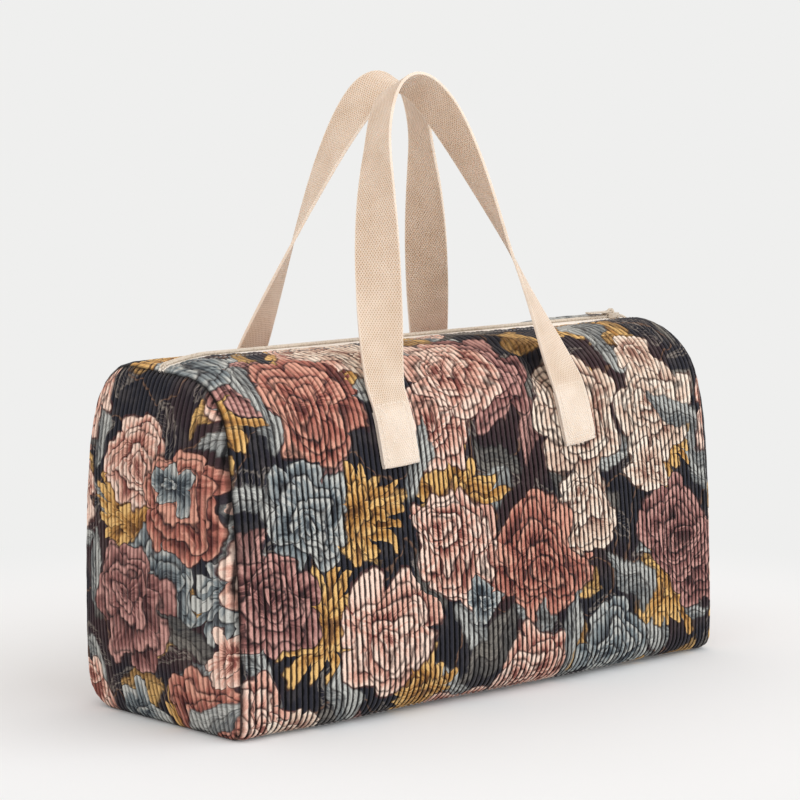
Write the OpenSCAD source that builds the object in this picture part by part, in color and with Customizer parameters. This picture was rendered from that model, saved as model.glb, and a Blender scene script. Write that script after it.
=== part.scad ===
// Soft zip-top weekend bag in wide-wale corduroy with two webbing handles.
// Millimetres. X runs along the bag, the front faces -Y, Z is up, and the
// origin is on the ground under the middle of the bag.

/* [Body] */
// Length between the two end seams
bag_l = 500; // [440:5:560]
// Height of the zip above the ground
bag_h = 272; // [250:1:300]
// Greatest depth, half way along the bag
bag_w = 218; // [200:1:236]
// How much less deep the bag is at its end seams
end_taper = 29; // [20:1:44]
// How much less deep the bag is at the shoulder than at the belly
shoulder_in = 42; // [30:1:56]
// How much less deep the end seams are at the shoulder than low down
end_shoulder_in = 29; // [20:1:40]
// Radius of the shoulder between the side and the top
shoulder_r = 62; // [50:1:68]
// Radius of the turn under the bag, half way along it
base_r = 30; // [24:1:40]
// How far each end panel domes outwards
end_dome = 16; // [6:1:24]
// Thickness of the padded cloth, over the wales
cloth_t = 3; // [2.6:0.1:3.6]

/* [Corduroy] */
// Number of wales along the front and the back
wales = 100; // [80:2:112]
// Depth of the valley between two wales
wale_d = 1.2; // [0.6:0.1:1.5]

/* [Zip] */
// Half the width of zip that shows between the two hems
zip_show = 10; // [9:0.5:14]
// Width of each tape that lies under the hem
tape_under = 8; // [5:0.5:12]
// Thickness of the tape
tape_t = 0.8; // [0.6:0.1:1]
// Height of the closed coil
coil_h = 2.4; // [2:0.1:3]
// Length of the slope at the left end of the zip
slope_left = 42; // [20:1:60]
// Length of the slope at the right end of the zip
slope_right = 16; // [12:1:60]
// How far the zip comes down at the left end seam
drop_left = 15; // [8:0.5:18]
// How far the zip comes down at the right end seam
drop_right = 9; // [6:0.5:18]
// Length of the slider
slider_l = 14; // [12:0.5:18]
// Length of the pull from its pivot to its tip
pull_l = 28; // [20:1:40]

/* [Handles] */
// Width of the webbing
strap_w = 35; // [28:1:36]
// Thickness of the webbing
strap_t = 2.2; // [1.6:0.1:3]
// Height of the top of the arch, along the middle of the webbing
handle_h = 468; // [450:1:520]
// Height of the lower end of each sewn foot
foot_z = 188; // [170:1:198]
// Distance of each foot from the middle of the bag
foot_x = 95; // [80:1:120]
// Sideways offset of both handles from the middle of the bag
handle_shift = -3; // [-6:0.5:6]
// Distance between the tops of the two handles
handles_apart = 37; // [36.5:0.5:50]

/* [Hidden] */

$fn = 24;
cloth_colour = [0.33, 0.27, 0.28];
end_colour = [0.40, 0.30, 0.30];
webbing_colour = [0.88, 0.80, 0.69];
tape_colour = [0.86, 0.80, 0.71];
coil_colour = [0.80, 0.74, 0.66];
lacquer_colour = [0.78, 0.72, 0.64];

// Body outline
half_l = bag_l / 2;
end_w = bag_w - end_taper;
shoulder_w = bag_w - shoulder_in;
end_shoulder_w = end_w - end_shoulder_in;
end_base_r = 22;
end_tighter = 4;
end_shoulder_r = shoulder_r - end_tighter;
seam_clear = 0.5;
base_seam_y = max(bag_w / 2 - base_r, end_w / 2 - end_base_r) + seam_clear;
dome_power = 2.5;
hem_drop = 2.8;
shoulder_drop = 5.5;
fuller_by = 4;
fuller_from = 110;
fuller_to = 200;
hem_z = bag_h - hem_drop;
shoulder_follow = 0.75;
crown_a = 88;
lean_top = 11;
lean_low = 2;
shoulder_steps = 3;
base_steps = 3;
shoulder_end = shoulder_steps + 1;
side_mid = shoulder_end + 1;
base_start = side_mid + 1;

// Zip: the closed chain lies flat along the top, slopes down at both ends and is
// nearly covered by the hems at the end seams
run_left = half_l - slope_left;
run_right = half_l - slope_right;
zip_end_show = 4.5;
coil_gap = 0.6;
coil_w = 2.6;
tape_flat = 3.4;
tape_top = -coil_h;
hem_clear = 0.3;
tape_hem = -hem_drop - cloth_t - hem_clear;
tape_dip = 1.8;
tape_edge = tape_hem - tape_dip;

// Slider and pull
slider_park = 3;
slider_x = run_right - slider_l / 2 - slider_park;
slider_clear = 0.35;
slider_half_w = 5;
slider_plate = 1.3;
flange_in = 4;
post_t = 0.7;
plate_top = bag_h + slider_clear + slider_plate;
bail_in = 2.4;
bail_out = 3.8;
bail_w = 1.8;
pivot_r = 0.8;
pivot_clear = 0.25;
pivot_z = plate_top + pivot_r + pivot_clear;
pull_t = 1.2;
pull_w = 8;
arm_out = 2.7;
arm_in = 1.6;
eye_l = 6;

// Handles: each leg is [side of the bag, sideways shift along the foot, sideways lean
// above the foot, share of the rise at which the lean ends, reach of the top curve,
// height at which the webbing has made a quarter turn], and the tops lean to the left
foot_clear = 0.8;
foot_t = 2 * strap_t;
leg_steps = 14;
full_turn = 99;
front_top_x = -25;
back_top_x = -7;
front_legs = [[-1, -3, 25, 0.66, -38, 407], [1, -6, -48, 0.62, 38, 425]];
back_legs = [[-1, -8, 38, 0.64, -38, 440], [1, 0, -46, 0.64, 45, 402]];

// How far the zip has come down at x, as a share of the whole slope and in millimetres
function fall(x) = max(0, x < 0 ? (-x - run_left) / slope_left : (x - run_right) / slope_right);
function drop(x) = fall(x) * (x < 0 ? drop_left : drop_right);

// Half the width of zip that shows at x
function zip_half(x) = mix(zip_show, zip_end_show, min(1, fall(x)));

// How far the top of the shoulder lies below the zip at x: the stuffed bag is fuller
// towards its right end
function crown_drop(x) =
    let (t = max(0, min(1, (x - fuller_from) / (fuller_to - fuller_from))))
    shoulder_drop - fuller_by * t * t * (3 - 2 * t);

// Share of the belly at x: 1 half way along the bag, 0 at the end seams
function belly(x) = 1 - pow(min(1, abs(x) / half_l), dome_power);
function mix(a, b, t) = a + (b - a) * t;
function polar(c, r, a) = [c[0] + r * cos(a), c[1] + r * sin(a)];

// Half cross-section at x as [depth, height] points from the hem to the base seam,
// moved inwards from the tops of the wales by inset
function section(x, inset) =
    let (
        q = belly(x),
        r = mix(shoulder_r, end_shoulder_r, fall(x)),
        top = bag_h - crown_drop(x) - shoulder_follow * drop(x),
        shoulder_c = [mix(end_shoulder_w, shoulder_w, q) / 2 - r, top - r],
        low_r = mix(end_base_r, base_r, q),
        base_c = [mix(end_w, bag_w, q) / 2 - low_r, low_r],
        high = polar(shoulder_c, r, lean_top),
        low = polar(base_c, low_r, lean_low),
        bow = norm(high - low) / 2 * tan((lean_top - lean_low) / 4),
        lean = (lean_top + lean_low) / 2,
        under_a = -acos((base_seam_y - base_c[0]) / low_r)
    )
    [
        [zip_half(x), hem_z - drop(x) - inset],
        for (i = [0 : shoulder_steps])
            polar(shoulder_c, r - inset, mix(crown_a, lean_top, i / shoulder_steps)),
        polar((high + low) / 2, bow - inset, lean),
        for (i = [0 : base_steps])
            polar(base_c, low_r - inset, mix(lean_low, under_a, i / base_steps))
    ];

// Faces of a sheet with a fine outer skin and a coarse inner skin. Outer row k and
// inner row j hold cols + 1 points, and inner row j lies under outer row at[j].
function sheet_faces(rows, cols, at) =
    let (
        w = cols + 1,
        inner = (rows + 1) * w,
        last = len(at) - 1
    )
    [
        for (k = [0 : rows - 1], i = [0 : cols - 1])
            let (a = k * w + i, b = a + w)
            each [[a, a + 1, b + 1], [a, b + 1, b]],
        for (j = [0 : last - 1], i = [0 : cols - 1])
            let (a = inner + j * w + i, b = a + w)
            each [[a, b + 1, a + 1], [a, b, b + 1]],
        for (j = [0 : last - 1])
            let (a = inner + j * w, b = a + w)
            each [
                for (k = [at[j] : at[j + 1] - 1]) [k * w, (k + 1) * w, a],
                [at[j + 1] * w, b, a],
                for (k = [at[j] : at[j + 1] - 1]) [(k + 1) * w + cols, k * w + cols, a + cols],
                [b + cols, at[j + 1] * w + cols, a + cols]
            ],
        for (i = [0 : cols - 1])
            let (a = inner + i, z = rows * w + i, y = inner + last * w + i)
            each [[i, a + 1, i + 1], [i, a, a + 1], [z, z + 1, y + 1], [z, y + 1, y]]
    ];

module sheet(outer, inner, at) {
    points = concat([for (row = outer) each row], [for (row = inner) each row]);
    polyhedron(points, sheet_faces(len(outer) - 1, len(outer[0]) - 1, at));
}

// Body panels
panel_rows = 2 * wales;
row_step = bag_l / panel_rows;
left_row = floor(slope_left / row_step);
right_row = panel_rows - floor(slope_right / row_step);
panel_at = [
    0, left_row, left_row + 1, round(panel_rows / 4),
    panel_rows / 2, round(panel_rows * 3 / 4), right_row - 1, right_row, panel_rows
];

function panel_x(k) = -half_l + k * row_step;
function valley(k) = k % 2 == 0 ? wale_d : 0;
function panel_row(x, inset) = [for (p = section(x, inset)) [x, -p[0], p[1]]];

module body_panel() {
    sheet(
        [for (k = [0 : panel_rows]) panel_row(panel_x(k), valley(k))],
        [for (k = panel_at) panel_row(panel_x(k), cloth_t)],
        panel_at
    );
}

module front_panel() {
    color(cloth_colour) body_panel();
}

module back_panel() {
    color(cloth_colour) mirror([0, 1, 0]) body_panel();
}

// Flat base between the base seams
base_clear = 1.1;

module base_panel() {
    color(cloth_colour)
        translate([-half_l, -base_seam_y + base_clear, 0])
            cube([bag_l, 2 * (base_seam_y - base_clear), cloth_t]);
}

// End panels fill the outline of the end seam and dome outwards
end_outline = section(half_l, 0);
end_under = [
    [0, 0],
    [base_seam_y - base_clear, 0],
    for (i = [base_start + base_steps : -1 : base_start]) end_outline[i]
];
end_inset = 0.4;
end_half = end_outline[base_start][0] - end_inset;
end_rows = 2 * round(end_half * 2 * wales / bag_l);
end_cols = 4;
end_rim = 2;
end_power = 4;
end_inner_step = 8;
end_at = [
    for (k = [0 : end_inner_step : end_rows - end_inner_step / 2]) k,
    end_rows
];

function end_top(side) =
    let (line = section(side * half_l, 0))
    [[0, line[1][1]], for (i = [1 : base_start]) line[i]];
function end_y(k) = -end_half + 2 * end_half * k / end_rows;
function end_s(i) = (1 - cos(180 * i / end_cols)) / 2;
function end_dome_share(y, s) =
    (1 - pow(abs(y) / end_half, end_power)) * (1 - pow(abs(2 * s - 1), end_power));

function end_row(top, k, base_x, dome, groove) =
    let (
        y = end_y(k),
        low = lookup(abs(y), end_under),
        high = lookup(abs(y), top)
    )
    [
        for (i = [0 : end_cols])
            let (
                s = end_s(i),
                cut = i == 0 || i == end_cols ? 0 : groove
            )
            [base_x + dome * end_dome_share(y, s) - cut, y, mix(low, high, s)]
    ];

module end_panel(top) {
    sheet(
        [for (k = [0 : end_rows]) end_row(top, k, half_l + end_rim, end_dome, valley(k))],
        [for (k = end_at) end_row(top, k, half_l, end_dome + end_rim - cloth_t, 0)],
        end_at
    );
}

module right_end_panel() {
    color(end_colour) end_panel(end_top(1));
}

module left_end_panel() {
    color(end_colour) mirror([1, 0, 0]) end_panel(end_top(-1));
}

// Solid through a row of rings. A ring lists one long side of its outline and then the
// other side back, so that point i lies across from point i counted from the end.
function cap_faces(first, n) = [
    for (i = [0 : n / 2 - 2])
        let (a = first + i, b = first + n - 1 - i)
        each [[a, a + 1, b - 1], [a, b - 1, b]]
];

module sweep(rings) {
    n = len(rings[0]);
    last = len(rings) - 1;
    sides = [
        for (k = [0 : last - 1], i = [0 : n - 1])
            let (a = k * n + i, b = k * n + (i + 1) % n)
            each [[a, a + n, b + n], [a, b + n, b]]
    ];
    far_cap = [for (f = cap_faces(last * n, n)) [f[2], f[1], f[0]]];
    polyhedron([for (r = rings) each r], concat(cap_faces(0, n), sides, far_cap));
}

// Carries profiles, given as [distance from the middle, height above the zip line],
// along the flat of the zip and down the slope at each end
zip_x = [-half_l, -run_left, run_right, half_l];

module along_zip(profiles) {
    sweep([
        for (k = [0 : len(zip_x) - 1])
            [for (p = profiles[k]) [zip_x[k], p[0], bag_h - drop(zip_x[k]) + p[1]]]
    ]);
}

function tape_line(x) = [
    [coil_gap, tape_top], [tape_flat, tape_top],
    [zip_half(x), tape_hem], [zip_half(x) + tape_under, tape_edge]
];
function tape_profile(x) =
    let (line = tape_line(x))
    concat(line, [for (i = [len(line) - 1 : -1 : 0]) line[i] - [0, tape_t]]);
tape_profiles = [for (x = zip_x) tape_profile(x)];
coil_chamfer = coil_h / 3;
coil_profile = [
    [coil_gap, 0], [coil_gap + coil_w - coil_chamfer, 0], [coil_gap + coil_w, -coil_chamfer],
    [coil_gap + coil_w, coil_chamfer - coil_h], [coil_gap + coil_w - coil_chamfer, -coil_h],
    [coil_gap, -coil_h]
];
coil_profiles = [for (x = zip_x) coil_profile];

module zip_tape_back() {
    color(tape_colour) along_zip(tape_profiles);
}

module zip_tape_front() {
    color(tape_colour) mirror([0, 1, 0]) along_zip(tape_profiles);
}

module zip_coil_back() {
    color(coil_colour) along_zip(coil_profiles);
}

module zip_coil_front() {
    color(coil_colour) mirror([0, 1, 0]) along_zip(coil_profiles);
}

// Slider: two plates joined by a post that runs between the two coils
tape_slope = (tape_hem - tape_top) / (zip_show - tape_flat);
wing_in = 0.2;
wing_y = tape_flat - wing_in;
wing_top = tape_top - tape_t - slider_clear;
wing_tip = wing_top + tape_slope * (slider_half_w - wing_y);
post_l = 4;
post_back = 1;
slider_corner = 2.5;

module rounded_rect(size, r) {
    square([size[0] - 2 * r, size[1]], center = true);
    square([size[0], size[1] - 2 * r], center = true);
    for (x = [-1, 1], y = [-1, 1])
        translate([x * (size[0] / 2 - r), y * (size[1] / 2 - r)]) circle(r);
}

module slider_profile() {
    translate([-slider_half_w, slider_clear]) square([2 * slider_half_w, slider_plate]);
    for (side = [0, 1])
        mirror([side, 0])
            translate([flange_in, tape_top])
                square([slider_half_w - flange_in, slider_clear - tape_top + slider_plate / 2]);
    polygon([
        [-slider_half_w, wing_tip], [-wing_y, wing_top], [wing_y, wing_top],
        [slider_half_w, wing_tip], [slider_half_w, wing_tip - slider_plate],
        [wing_y, wing_top - slider_plate], [-wing_y, wing_top - slider_plate],
        [-slider_half_w, wing_tip - slider_plate]
    ]);
}

module zip_slider() {
    color(lacquer_colour)
        translate([slider_x, 0, 0]) {
            intersection() {
                rotate([90, 0, 90])
                    translate([0, bag_h, -slider_l / 2])
                        linear_extrude(slider_l) slider_profile();
                translate([0, 0, bag_h + wing_tip - 2 * slider_plate])
                    linear_extrude(slider_clear - wing_tip + 4 * slider_plate)
                        rounded_rect([slider_l, 2 * slider_half_w], slider_corner);
            }
            translate([slider_l / 2 - post_l - post_back, -post_t / 2, bag_h + wing_top - slider_plate / 2])
                cube([post_l, post_t, slider_clear - wing_top + slider_plate]);
            translate([0, 0, plate_top - slider_plate / 10])
                rotate([90, 0, 0])
                    rotate_extrude(angle = 180)
                        translate([bail_in, -bail_w / 2])
                            square([bail_out - bail_in, bail_w]);
        }
}

// Pull: a flat tab whose eye is held by a round bar under the bail
module pull_outline() {
    for (side = [0, 1])
        mirror([0, side])
            translate([-eye_l, arm_in]) square([eye_l, arm_out - arm_in]);
    polygon([
        [-eye_l, -arm_out], [-eye_l, arm_out],
        [-pull_l + pull_w / 2, pull_w / 2], [-pull_l + pull_w / 2, -pull_w / 2]
    ]);
    translate([-pull_l + pull_w / 2, 0]) circle(d = pull_w);
}

module zip_pull() {
    color(lacquer_colour)
        translate([slider_x, 0, pivot_z]) {
            translate([0, 0, -pull_t / 2]) linear_extrude(pull_t) pull_outline();
            rotate([90, 0, 0]) cylinder(r = pivot_r, h = 2 * arm_out, center = true);
        }
}

// Handles: flat webbing that lies on the panel at both feet, leaves it at the
// shoulder and turns on its way up until its edges point across the bag
function unit(v) = v / norm(v);
function bezier(p, t) =
    pow(1 - t, 3) * p[0] + 3 * t * pow(1 - t, 2) * p[1] + 3 * t * t * (1 - t) * p[2] + pow(t, 3) * p[3];

// Outline points under a foot: its lower end, the end of the shoulder and the next point up
function foot_outline(x) =
    let (
        s = section(x, 0),
        high = s[shoulder_end],
        mid = s[side_mid],
        share = (high[1] - foot_z) / (high[1] - mid[1])
    )
    [mix(high, mid, share), high, s[shoulder_end - 1]];

foot_angles = [lean_top, lean_top, mix(lean_top, crown_a, 1 / shoulder_steps)];
function foot_slope(x) = (belly(abs(x) - 1) - belly(abs(x) + 1)) * (bag_w - end_w) / 4;

// Rings of a leg as [centre, outward direction, thickness], from the foot to the top
function foot_rings(side, leg) =
    let (
        x = leg[0] * foot_x + handle_shift,
        line = foot_outline(x),
        off = foot_clear + foot_t / 2,
        rise = line[2][1] - line[0][1]
    )
    [
        for (i = [0 : 2])
            let (
                a = foot_angles[i],
                p = line[i] + off * [cos(a), sin(a)],
                shift = leg[1] * (line[i][1] - line[0][1]) / rise
            )
            [[x + shift, side * p[0], p[1]], unit([leg[0] * foot_slope(x), side * cos(a), sin(a)]), foot_t]
    ];

function leg_curve(side, leg, top_x) =
    let (
        foot = foot_rings(side, leg)[2][0],
        top = [top_x, side * handles_apart / 2, handle_h],
        rise = leg[3] * (top - foot)
    )
    [foot, [foot[0] + leg[2], foot[1] + rise[1], foot[2] + rise[2]], top + [leg[4], 0, 0], top];

function leg_points(side, leg, top_x) =
    let (p = leg_curve(side, leg, top_x))
    [for (i = [1 : leg_steps]) bezier(p, i / leg_steps)];

function back_to_front(list) = [for (i = [len(list) - 1 : -1 : 0]) list[i]];

// Direction of the webbing's outer face at a point of the arch with tangent t
function arch_normal(side, foot, top, p, t, quarter_z) =
    let (
        up = unit([0, top[1] - foot[1], top[2] - foot[2]]),
        out = side * [0, up[2], -up[1]],
        turn = min(full_turn, 90 * max(0, (p[2] - foot[2]) / (quarter_z - foot[2])))
    )
    cos(turn) * out - side * sin(turn) * cross(out, t);

function ring_points(c, t, out, thick) =
    let (
        n = unit(out - (out * t) * t),
        b = cross(t, n) * strap_w / 2,
        h = n * thick / 2
    )
    [c + b + h, c - b + h, c - b - h, c + b - h];

module handle(side, legs, top_x) {
    left = foot_rings(side, legs[0]);
    right = back_to_front(foot_rings(side, legs[1]));
    arch_left = leg_points(side, legs[0], top_x);
    arch_right = back_to_front(leg_points(side, legs[1], top_x));
    arch = concat(arch_left, [for (i = [1 : leg_steps - 1]) arch_right[i]]);
    top = arch_left[leg_steps - 1];
    line = concat([for (r = left) r[0]], arch, [for (r = right) r[0]]);
    last = len(line) - 1;
    function quarter(i) = legs[i < len(left) + leg_steps ? 0 : 1][5];
    tangents = [for (i = [0 : last]) unit(line[min(i + 1, last)] - line[max(i - 1, 0)])];
    rings = [
        for (i = [0 : last])
            i < len(left) ? ring_points(line[i], tangents[i], left[i][1], left[i][2])
            : i > last - len(right)
                ? let (r = right[i - last + len(right) - 1]) ring_points(line[i], tangents[i], r[1], r[2])
            : ring_points(
                line[i], tangents[i],
                arch_normal(side, left[2][0], top, line[i], tangents[i], quarter(i)), strap_t
            )
    ];
    color(webbing_colour) sweep(rings);
}

module front_handle() {
    handle(-1, front_legs, front_top_x);
}

module back_handle() {
    handle(1, back_legs, back_top_x);
}

front_panel();
back_panel();
base_panel();
left_end_panel();
right_end_panel();
zip_tape_front();
zip_tape_back();
zip_coil_front();
zip_coil_back();
zip_slider();
zip_pull();
front_handle();
back_handle();
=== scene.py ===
"""Looks of a soft zip-top weekend bag in printed corduroy with webbing handles.

Metres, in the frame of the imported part: X along the bag, the front faces -Y, Z up.
"""
from __future__ import annotations

import logging
import math
from collections.abc import Callable, Sequence
from dataclasses import dataclass, field
from enum import Enum

import bmesh
import bpy
import numpy as np
from mathutils import Matrix, Vector


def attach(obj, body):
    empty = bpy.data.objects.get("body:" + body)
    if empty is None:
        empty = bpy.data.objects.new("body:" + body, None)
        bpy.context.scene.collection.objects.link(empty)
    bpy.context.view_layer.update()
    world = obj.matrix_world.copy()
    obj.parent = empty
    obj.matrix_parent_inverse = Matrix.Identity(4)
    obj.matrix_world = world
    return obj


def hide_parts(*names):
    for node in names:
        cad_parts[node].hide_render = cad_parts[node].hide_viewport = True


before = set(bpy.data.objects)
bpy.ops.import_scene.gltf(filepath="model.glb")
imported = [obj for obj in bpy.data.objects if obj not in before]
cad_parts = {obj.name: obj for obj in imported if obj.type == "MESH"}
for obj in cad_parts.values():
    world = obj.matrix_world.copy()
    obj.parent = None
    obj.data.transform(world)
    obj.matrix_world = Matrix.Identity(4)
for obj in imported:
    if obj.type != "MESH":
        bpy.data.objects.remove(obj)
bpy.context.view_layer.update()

LOG = logging.getLogger("carpet_bag")
MM = 0.001
Array = np.ndarray
Feed = object
Socket = bpy.types.NodeSocket
Tree = bpy.types.NodeTree
Node = bpy.types.Node
Mesh = bpy.types.Mesh
Piece = bpy.types.Object
Material = bpy.types.Material
Colour = tuple[float, float, float, float]


class Side(Enum):
    """Which long side of the bag a piece belongs to."""

    FRONT = -1
    BACK = 1


class End(Enum):
    """Which end of the bag a piece belongs to."""

    LEFT = -1
    RIGHT = 1


def srgb(red: int, green: int, blue: int) -> Colour:
    """Returns a screen colour, given as three numbers up to 255, as a linear colour."""
    def linear(value: int) -> float:
        """Returns one channel in linear light."""
        share = value / 255
        return share / 12.92 if share <= 0.04045 else ((share + 0.055) / 1.055) ** 2.4

    return (linear(red), linear(green), linear(blue), 1.0)


def mix(low: Array, high: Array, share: Array) -> Array:
    """Returns the value that lies at a share of the way from low to high."""
    return low + (high - low) * share


def smooth(value: Array) -> Array:
    """Returns a value held between 0 and 1 and eased at both ends."""
    held = np.clip(value, 0.0, 1.0)
    return held * held * (3 - 2 * held)


def unit(vectors: Array) -> Array:
    """Returns vectors of length 1 along the last axis."""
    return vectors / np.linalg.norm(vectors, axis=-1, keepdims=True)


def run_along(points: Array) -> Array:
    """Returns the distance of each point of a line from its start."""
    return np.r_[0.0, np.cumsum(np.linalg.norm(np.diff(points, axis=0), axis=1))]


# Shader graphs


def settle(node: Node, **values: object) -> None:
    """Sets constant inputs of a node, whose names have spaces for underscores."""
    for name, value in values.items():
        node.inputs[name.replace("_", " ")].default_value = value


class Graph:
    """Writes the nodes of one shader tree."""

    def __init__(self, tree: Tree) -> None:
        """Starts on a tree, which may already hold nodes."""
        self.tree = tree

    def node(self, kind: str, **settings: object) -> Node:
        """Adds a node.

        Args:
            kind: the node's type without its ShaderNode prefix, or a full type name.
            settings: properties of the node.

        Returns:
            The new node.
        """
        full = kind if kind.startswith("Node") else f"ShaderNode{kind}"
        made = self.tree.nodes.new(full)
        for name, value in settings.items():
            setattr(made, name, value)
        return made

    def feed(self, socket: Socket, value: Feed) -> None:
        """Links a socket to an output, or sets its value."""
        if isinstance(value, Socket):
            self.tree.links.new(value, socket)
        elif value is not None:
            socket.default_value = value

    def math(self, operation: str, *values: Feed, clamp: bool = False) -> Socket:
        """Returns the output of a Math node."""
        made = self.node("Math", operation=operation, use_clamp=clamp)
        for socket, value in zip(made.inputs, values):
            self.feed(socket, value)
        return made.outputs[0]

    def times(self, value: Feed, factor: Feed, clamp: bool = False) -> Socket:
        """Returns the product of two numbers."""
        return self.math("MULTIPLY", value, factor, clamp=clamp)

    def scaled(self, value: Feed, factor: Feed, more: Feed, clamp: bool = False) -> Socket:
        """Returns the product of two numbers with a third added to it."""
        return self.math("MULTIPLY_ADD", value, factor, more, clamp=clamp)

    def vector(self, operation: str, *values: Feed) -> Socket:
        """Returns the vector output of a Vector Math node."""
        made = self.node("VectorMath", operation=operation)
        for socket, value in zip(made.inputs, values):
            self.feed(socket, value)
        return made.outputs["Value" if operation in ("LENGTH", "DOT_PRODUCT") else "Vector"]

    def colour(self, share: Feed, low: Feed, high: Feed, blend: str = "MIX") -> Socket:
        """Returns a mix of two colours."""
        made = self.node("Mix", data_type="RGBA", blend_type=blend)
        self.feed(made.inputs[0], share)
        self.feed(made.inputs[6], low)
        self.feed(made.inputs[7], high)
        return made.outputs[2]

    def split(self, vector: Feed) -> tuple[Socket, ...]:
        """Returns the three numbers of a vector or colour."""
        made = self.node("SeparateXYZ")
        self.feed(made.inputs[0], vector)
        return tuple(made.outputs)

    def flat(self, vector: Feed) -> tuple[Socket, Socket]:
        """Returns the first two numbers of a vector."""
        first = self.vector("DOT_PRODUCT", vector, (1.0, 0.0, 0.0))
        return first, self.vector("DOT_PRODUCT", vector, (0.0, 1.0, 0.0))

    def hash(self, first: Feed, second: Feed) -> Socket:
        """Returns a number from 0 to 1 that jumps with every change of two numbers."""
        mixed = self.scaled(first, 12.9898, self.times(second, 78.233))
        return self.math("FRACT", self.times(self.math("SINE", mixed), 437.585))

    def join(self, x: Feed, y: Feed, z: Feed = 0.0) -> Socket:
        """Returns a vector of three numbers."""
        made = self.node("CombineXYZ")
        for socket, value in zip(made.inputs, (x, y, z)):
            self.feed(socket, value)
        return made.outputs[0]

    def ease(self, value: Feed, start: float, stop: float) -> Socket:
        """Returns 0 at start and 1 at stop, eased between them."""
        made = self.node("MapRange", interpolation_type="SMOOTHSTEP")
        self.feed(made.inputs["Value"], value)
        settle(made, From_Min=start, From_Max=stop)
        return made.outputs["Result"]

    def noise(self, vector: Feed, scale: float, detail: float = 2.0) -> Node:
        """Returns a plane noise node."""
        made = self.node("TexNoise", noise_dimensions="2D")
        self.feed(made.inputs["Vector"], vector)
        settle(made, Scale=scale, Detail=detail)
        return made

    def cell(self, vector: Feed, randomness: float) -> tuple[Socket, tuple[Socket, ...]]:
        """Returns the middle of a loose net's cell and three random numbers of that cell."""
        made = self.node("TexVoronoi", voronoi_dimensions="2D", feature="F1")
        self.feed(made.inputs["Vector"], vector)
        settle(made, Scale=1.0, Randomness=randomness)
        return made.outputs["Position"], self.split(made.outputs["Color"])

    def place(self, vector: Feed, cell: float, turn: float, shift: tuple[float, float]) -> Socket:
        """Returns a vector counted in cells of a turned and shifted square net."""
        made = self.node("Mapping", vector_type="POINT")
        self.feed(made.inputs["Vector"], vector)
        settle(made, Location=(*shift, 0.0), Rotation=(0.0, 0.0, math.radians(turn)))
        settle(made, Scale=(1 / cell, 1 / cell, 1.0))
        return made.outputs["Vector"]

    def bump(self, shader: Node, height: Feed, strength: float, distance: float) -> None:
        """Gives a shader fine relief from a height."""
        made = self.node("Bump")
        settle(made, Strength=strength, Distance=distance)
        self.feed(made.inputs["Height"], height)
        self.feed(shader.inputs["Normal"], made.outputs["Normal"])

    def group(self, tree: Tree, **values: Feed) -> Node:
        """Places a node group and feeds its inputs, whose names have spaces for underscores."""
        made = self.node("Group", node_tree=tree)
        for name, value in values.items():
            self.feed(made.inputs[name.replace("_", " ")], value)
        return made


class Group:
    """A shader node group under construction."""

    def __init__(self, name: str, takes: dict[str, str], gives: dict[str, str]) -> None:
        """Makes the group's tree.

        Args:
            name: name of the group.
            takes: names of the inputs with their kinds, Float, Vector or Color.
            gives: names of the outputs with their kinds.
        """
        self.tree = bpy.data.node_groups.new(name, "ShaderNodeTree")
        for way, sockets in (("INPUT", takes), ("OUTPUT", gives)):
            for socket, kind in sockets.items():
                self.tree.interface.new_socket(name=socket, in_out=way, socket_type=f"NodeSocket{kind}")
        self.graph = Graph(self.tree)
        self.takes = self.graph.node("NodeGroupInput").outputs
        self.gives = self.graph.node("NodeGroupOutput").inputs

    def done(self, **values: Feed) -> Tree:
        """Feeds the outputs and returns the finished tree."""
        for name, value in values.items():
            self.graph.feed(self.gives[name], value)
        return self.tree


def new_material(name: str) -> tuple[Material, Graph, Node]:
    """Returns a new material with its graph and its shader."""
    made = bpy.data.materials.new(name)
    made.use_nodes = True
    return made, Graph(made.node_tree), made.node_tree.nodes["Principled BSDF"]


# Printed motifs


@dataclass(frozen=True)
class Petals:
    """One ring of petals of a bloom, sizes as shares of the bloom's radius."""

    reach: float
    scallop: float
    count: float
    turn: float
    fade: float


@dataclass(frozen=True)
class Tones:
    """Colours of one flower or leaf, from its rim to its heart."""

    light: Colour
    mid: Colour
    deep: Colour


BLUSH = Tones(srgb(246, 218, 202), srgb(222, 170, 152), srgb(138, 80, 72))
TERRACOTTA = Tones(srgb(220, 162, 142), srgb(176, 110, 96), srgb(94, 50, 48))
MAUVE = Tones(srgb(200, 152, 144), srgb(146, 100, 96), srgb(76, 48, 50))
MUSTARD = Tones(srgb(228, 186, 120), srgb(188, 138, 76), srgb(110, 74, 42))
SLATE = Tones(srgb(194, 196, 192), srgb(130, 140, 144), srgb(60, 68, 76))
CREAM = Tones(srgb(246, 231, 215), srgb(226, 198, 178), srgb(156, 116, 102))
DUSK = Tones(srgb(128, 124, 118), srgb(90, 90, 90), srgb(54, 56, 60))
INK = srgb(34, 29, 34)
CHARCOAL = srgb(40, 41, 50)
PLUM = srgb(60, 44, 48)
PALE_LINE = srgb(168, 158, 148)
STEM = srgb(132, 100, 78)

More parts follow.
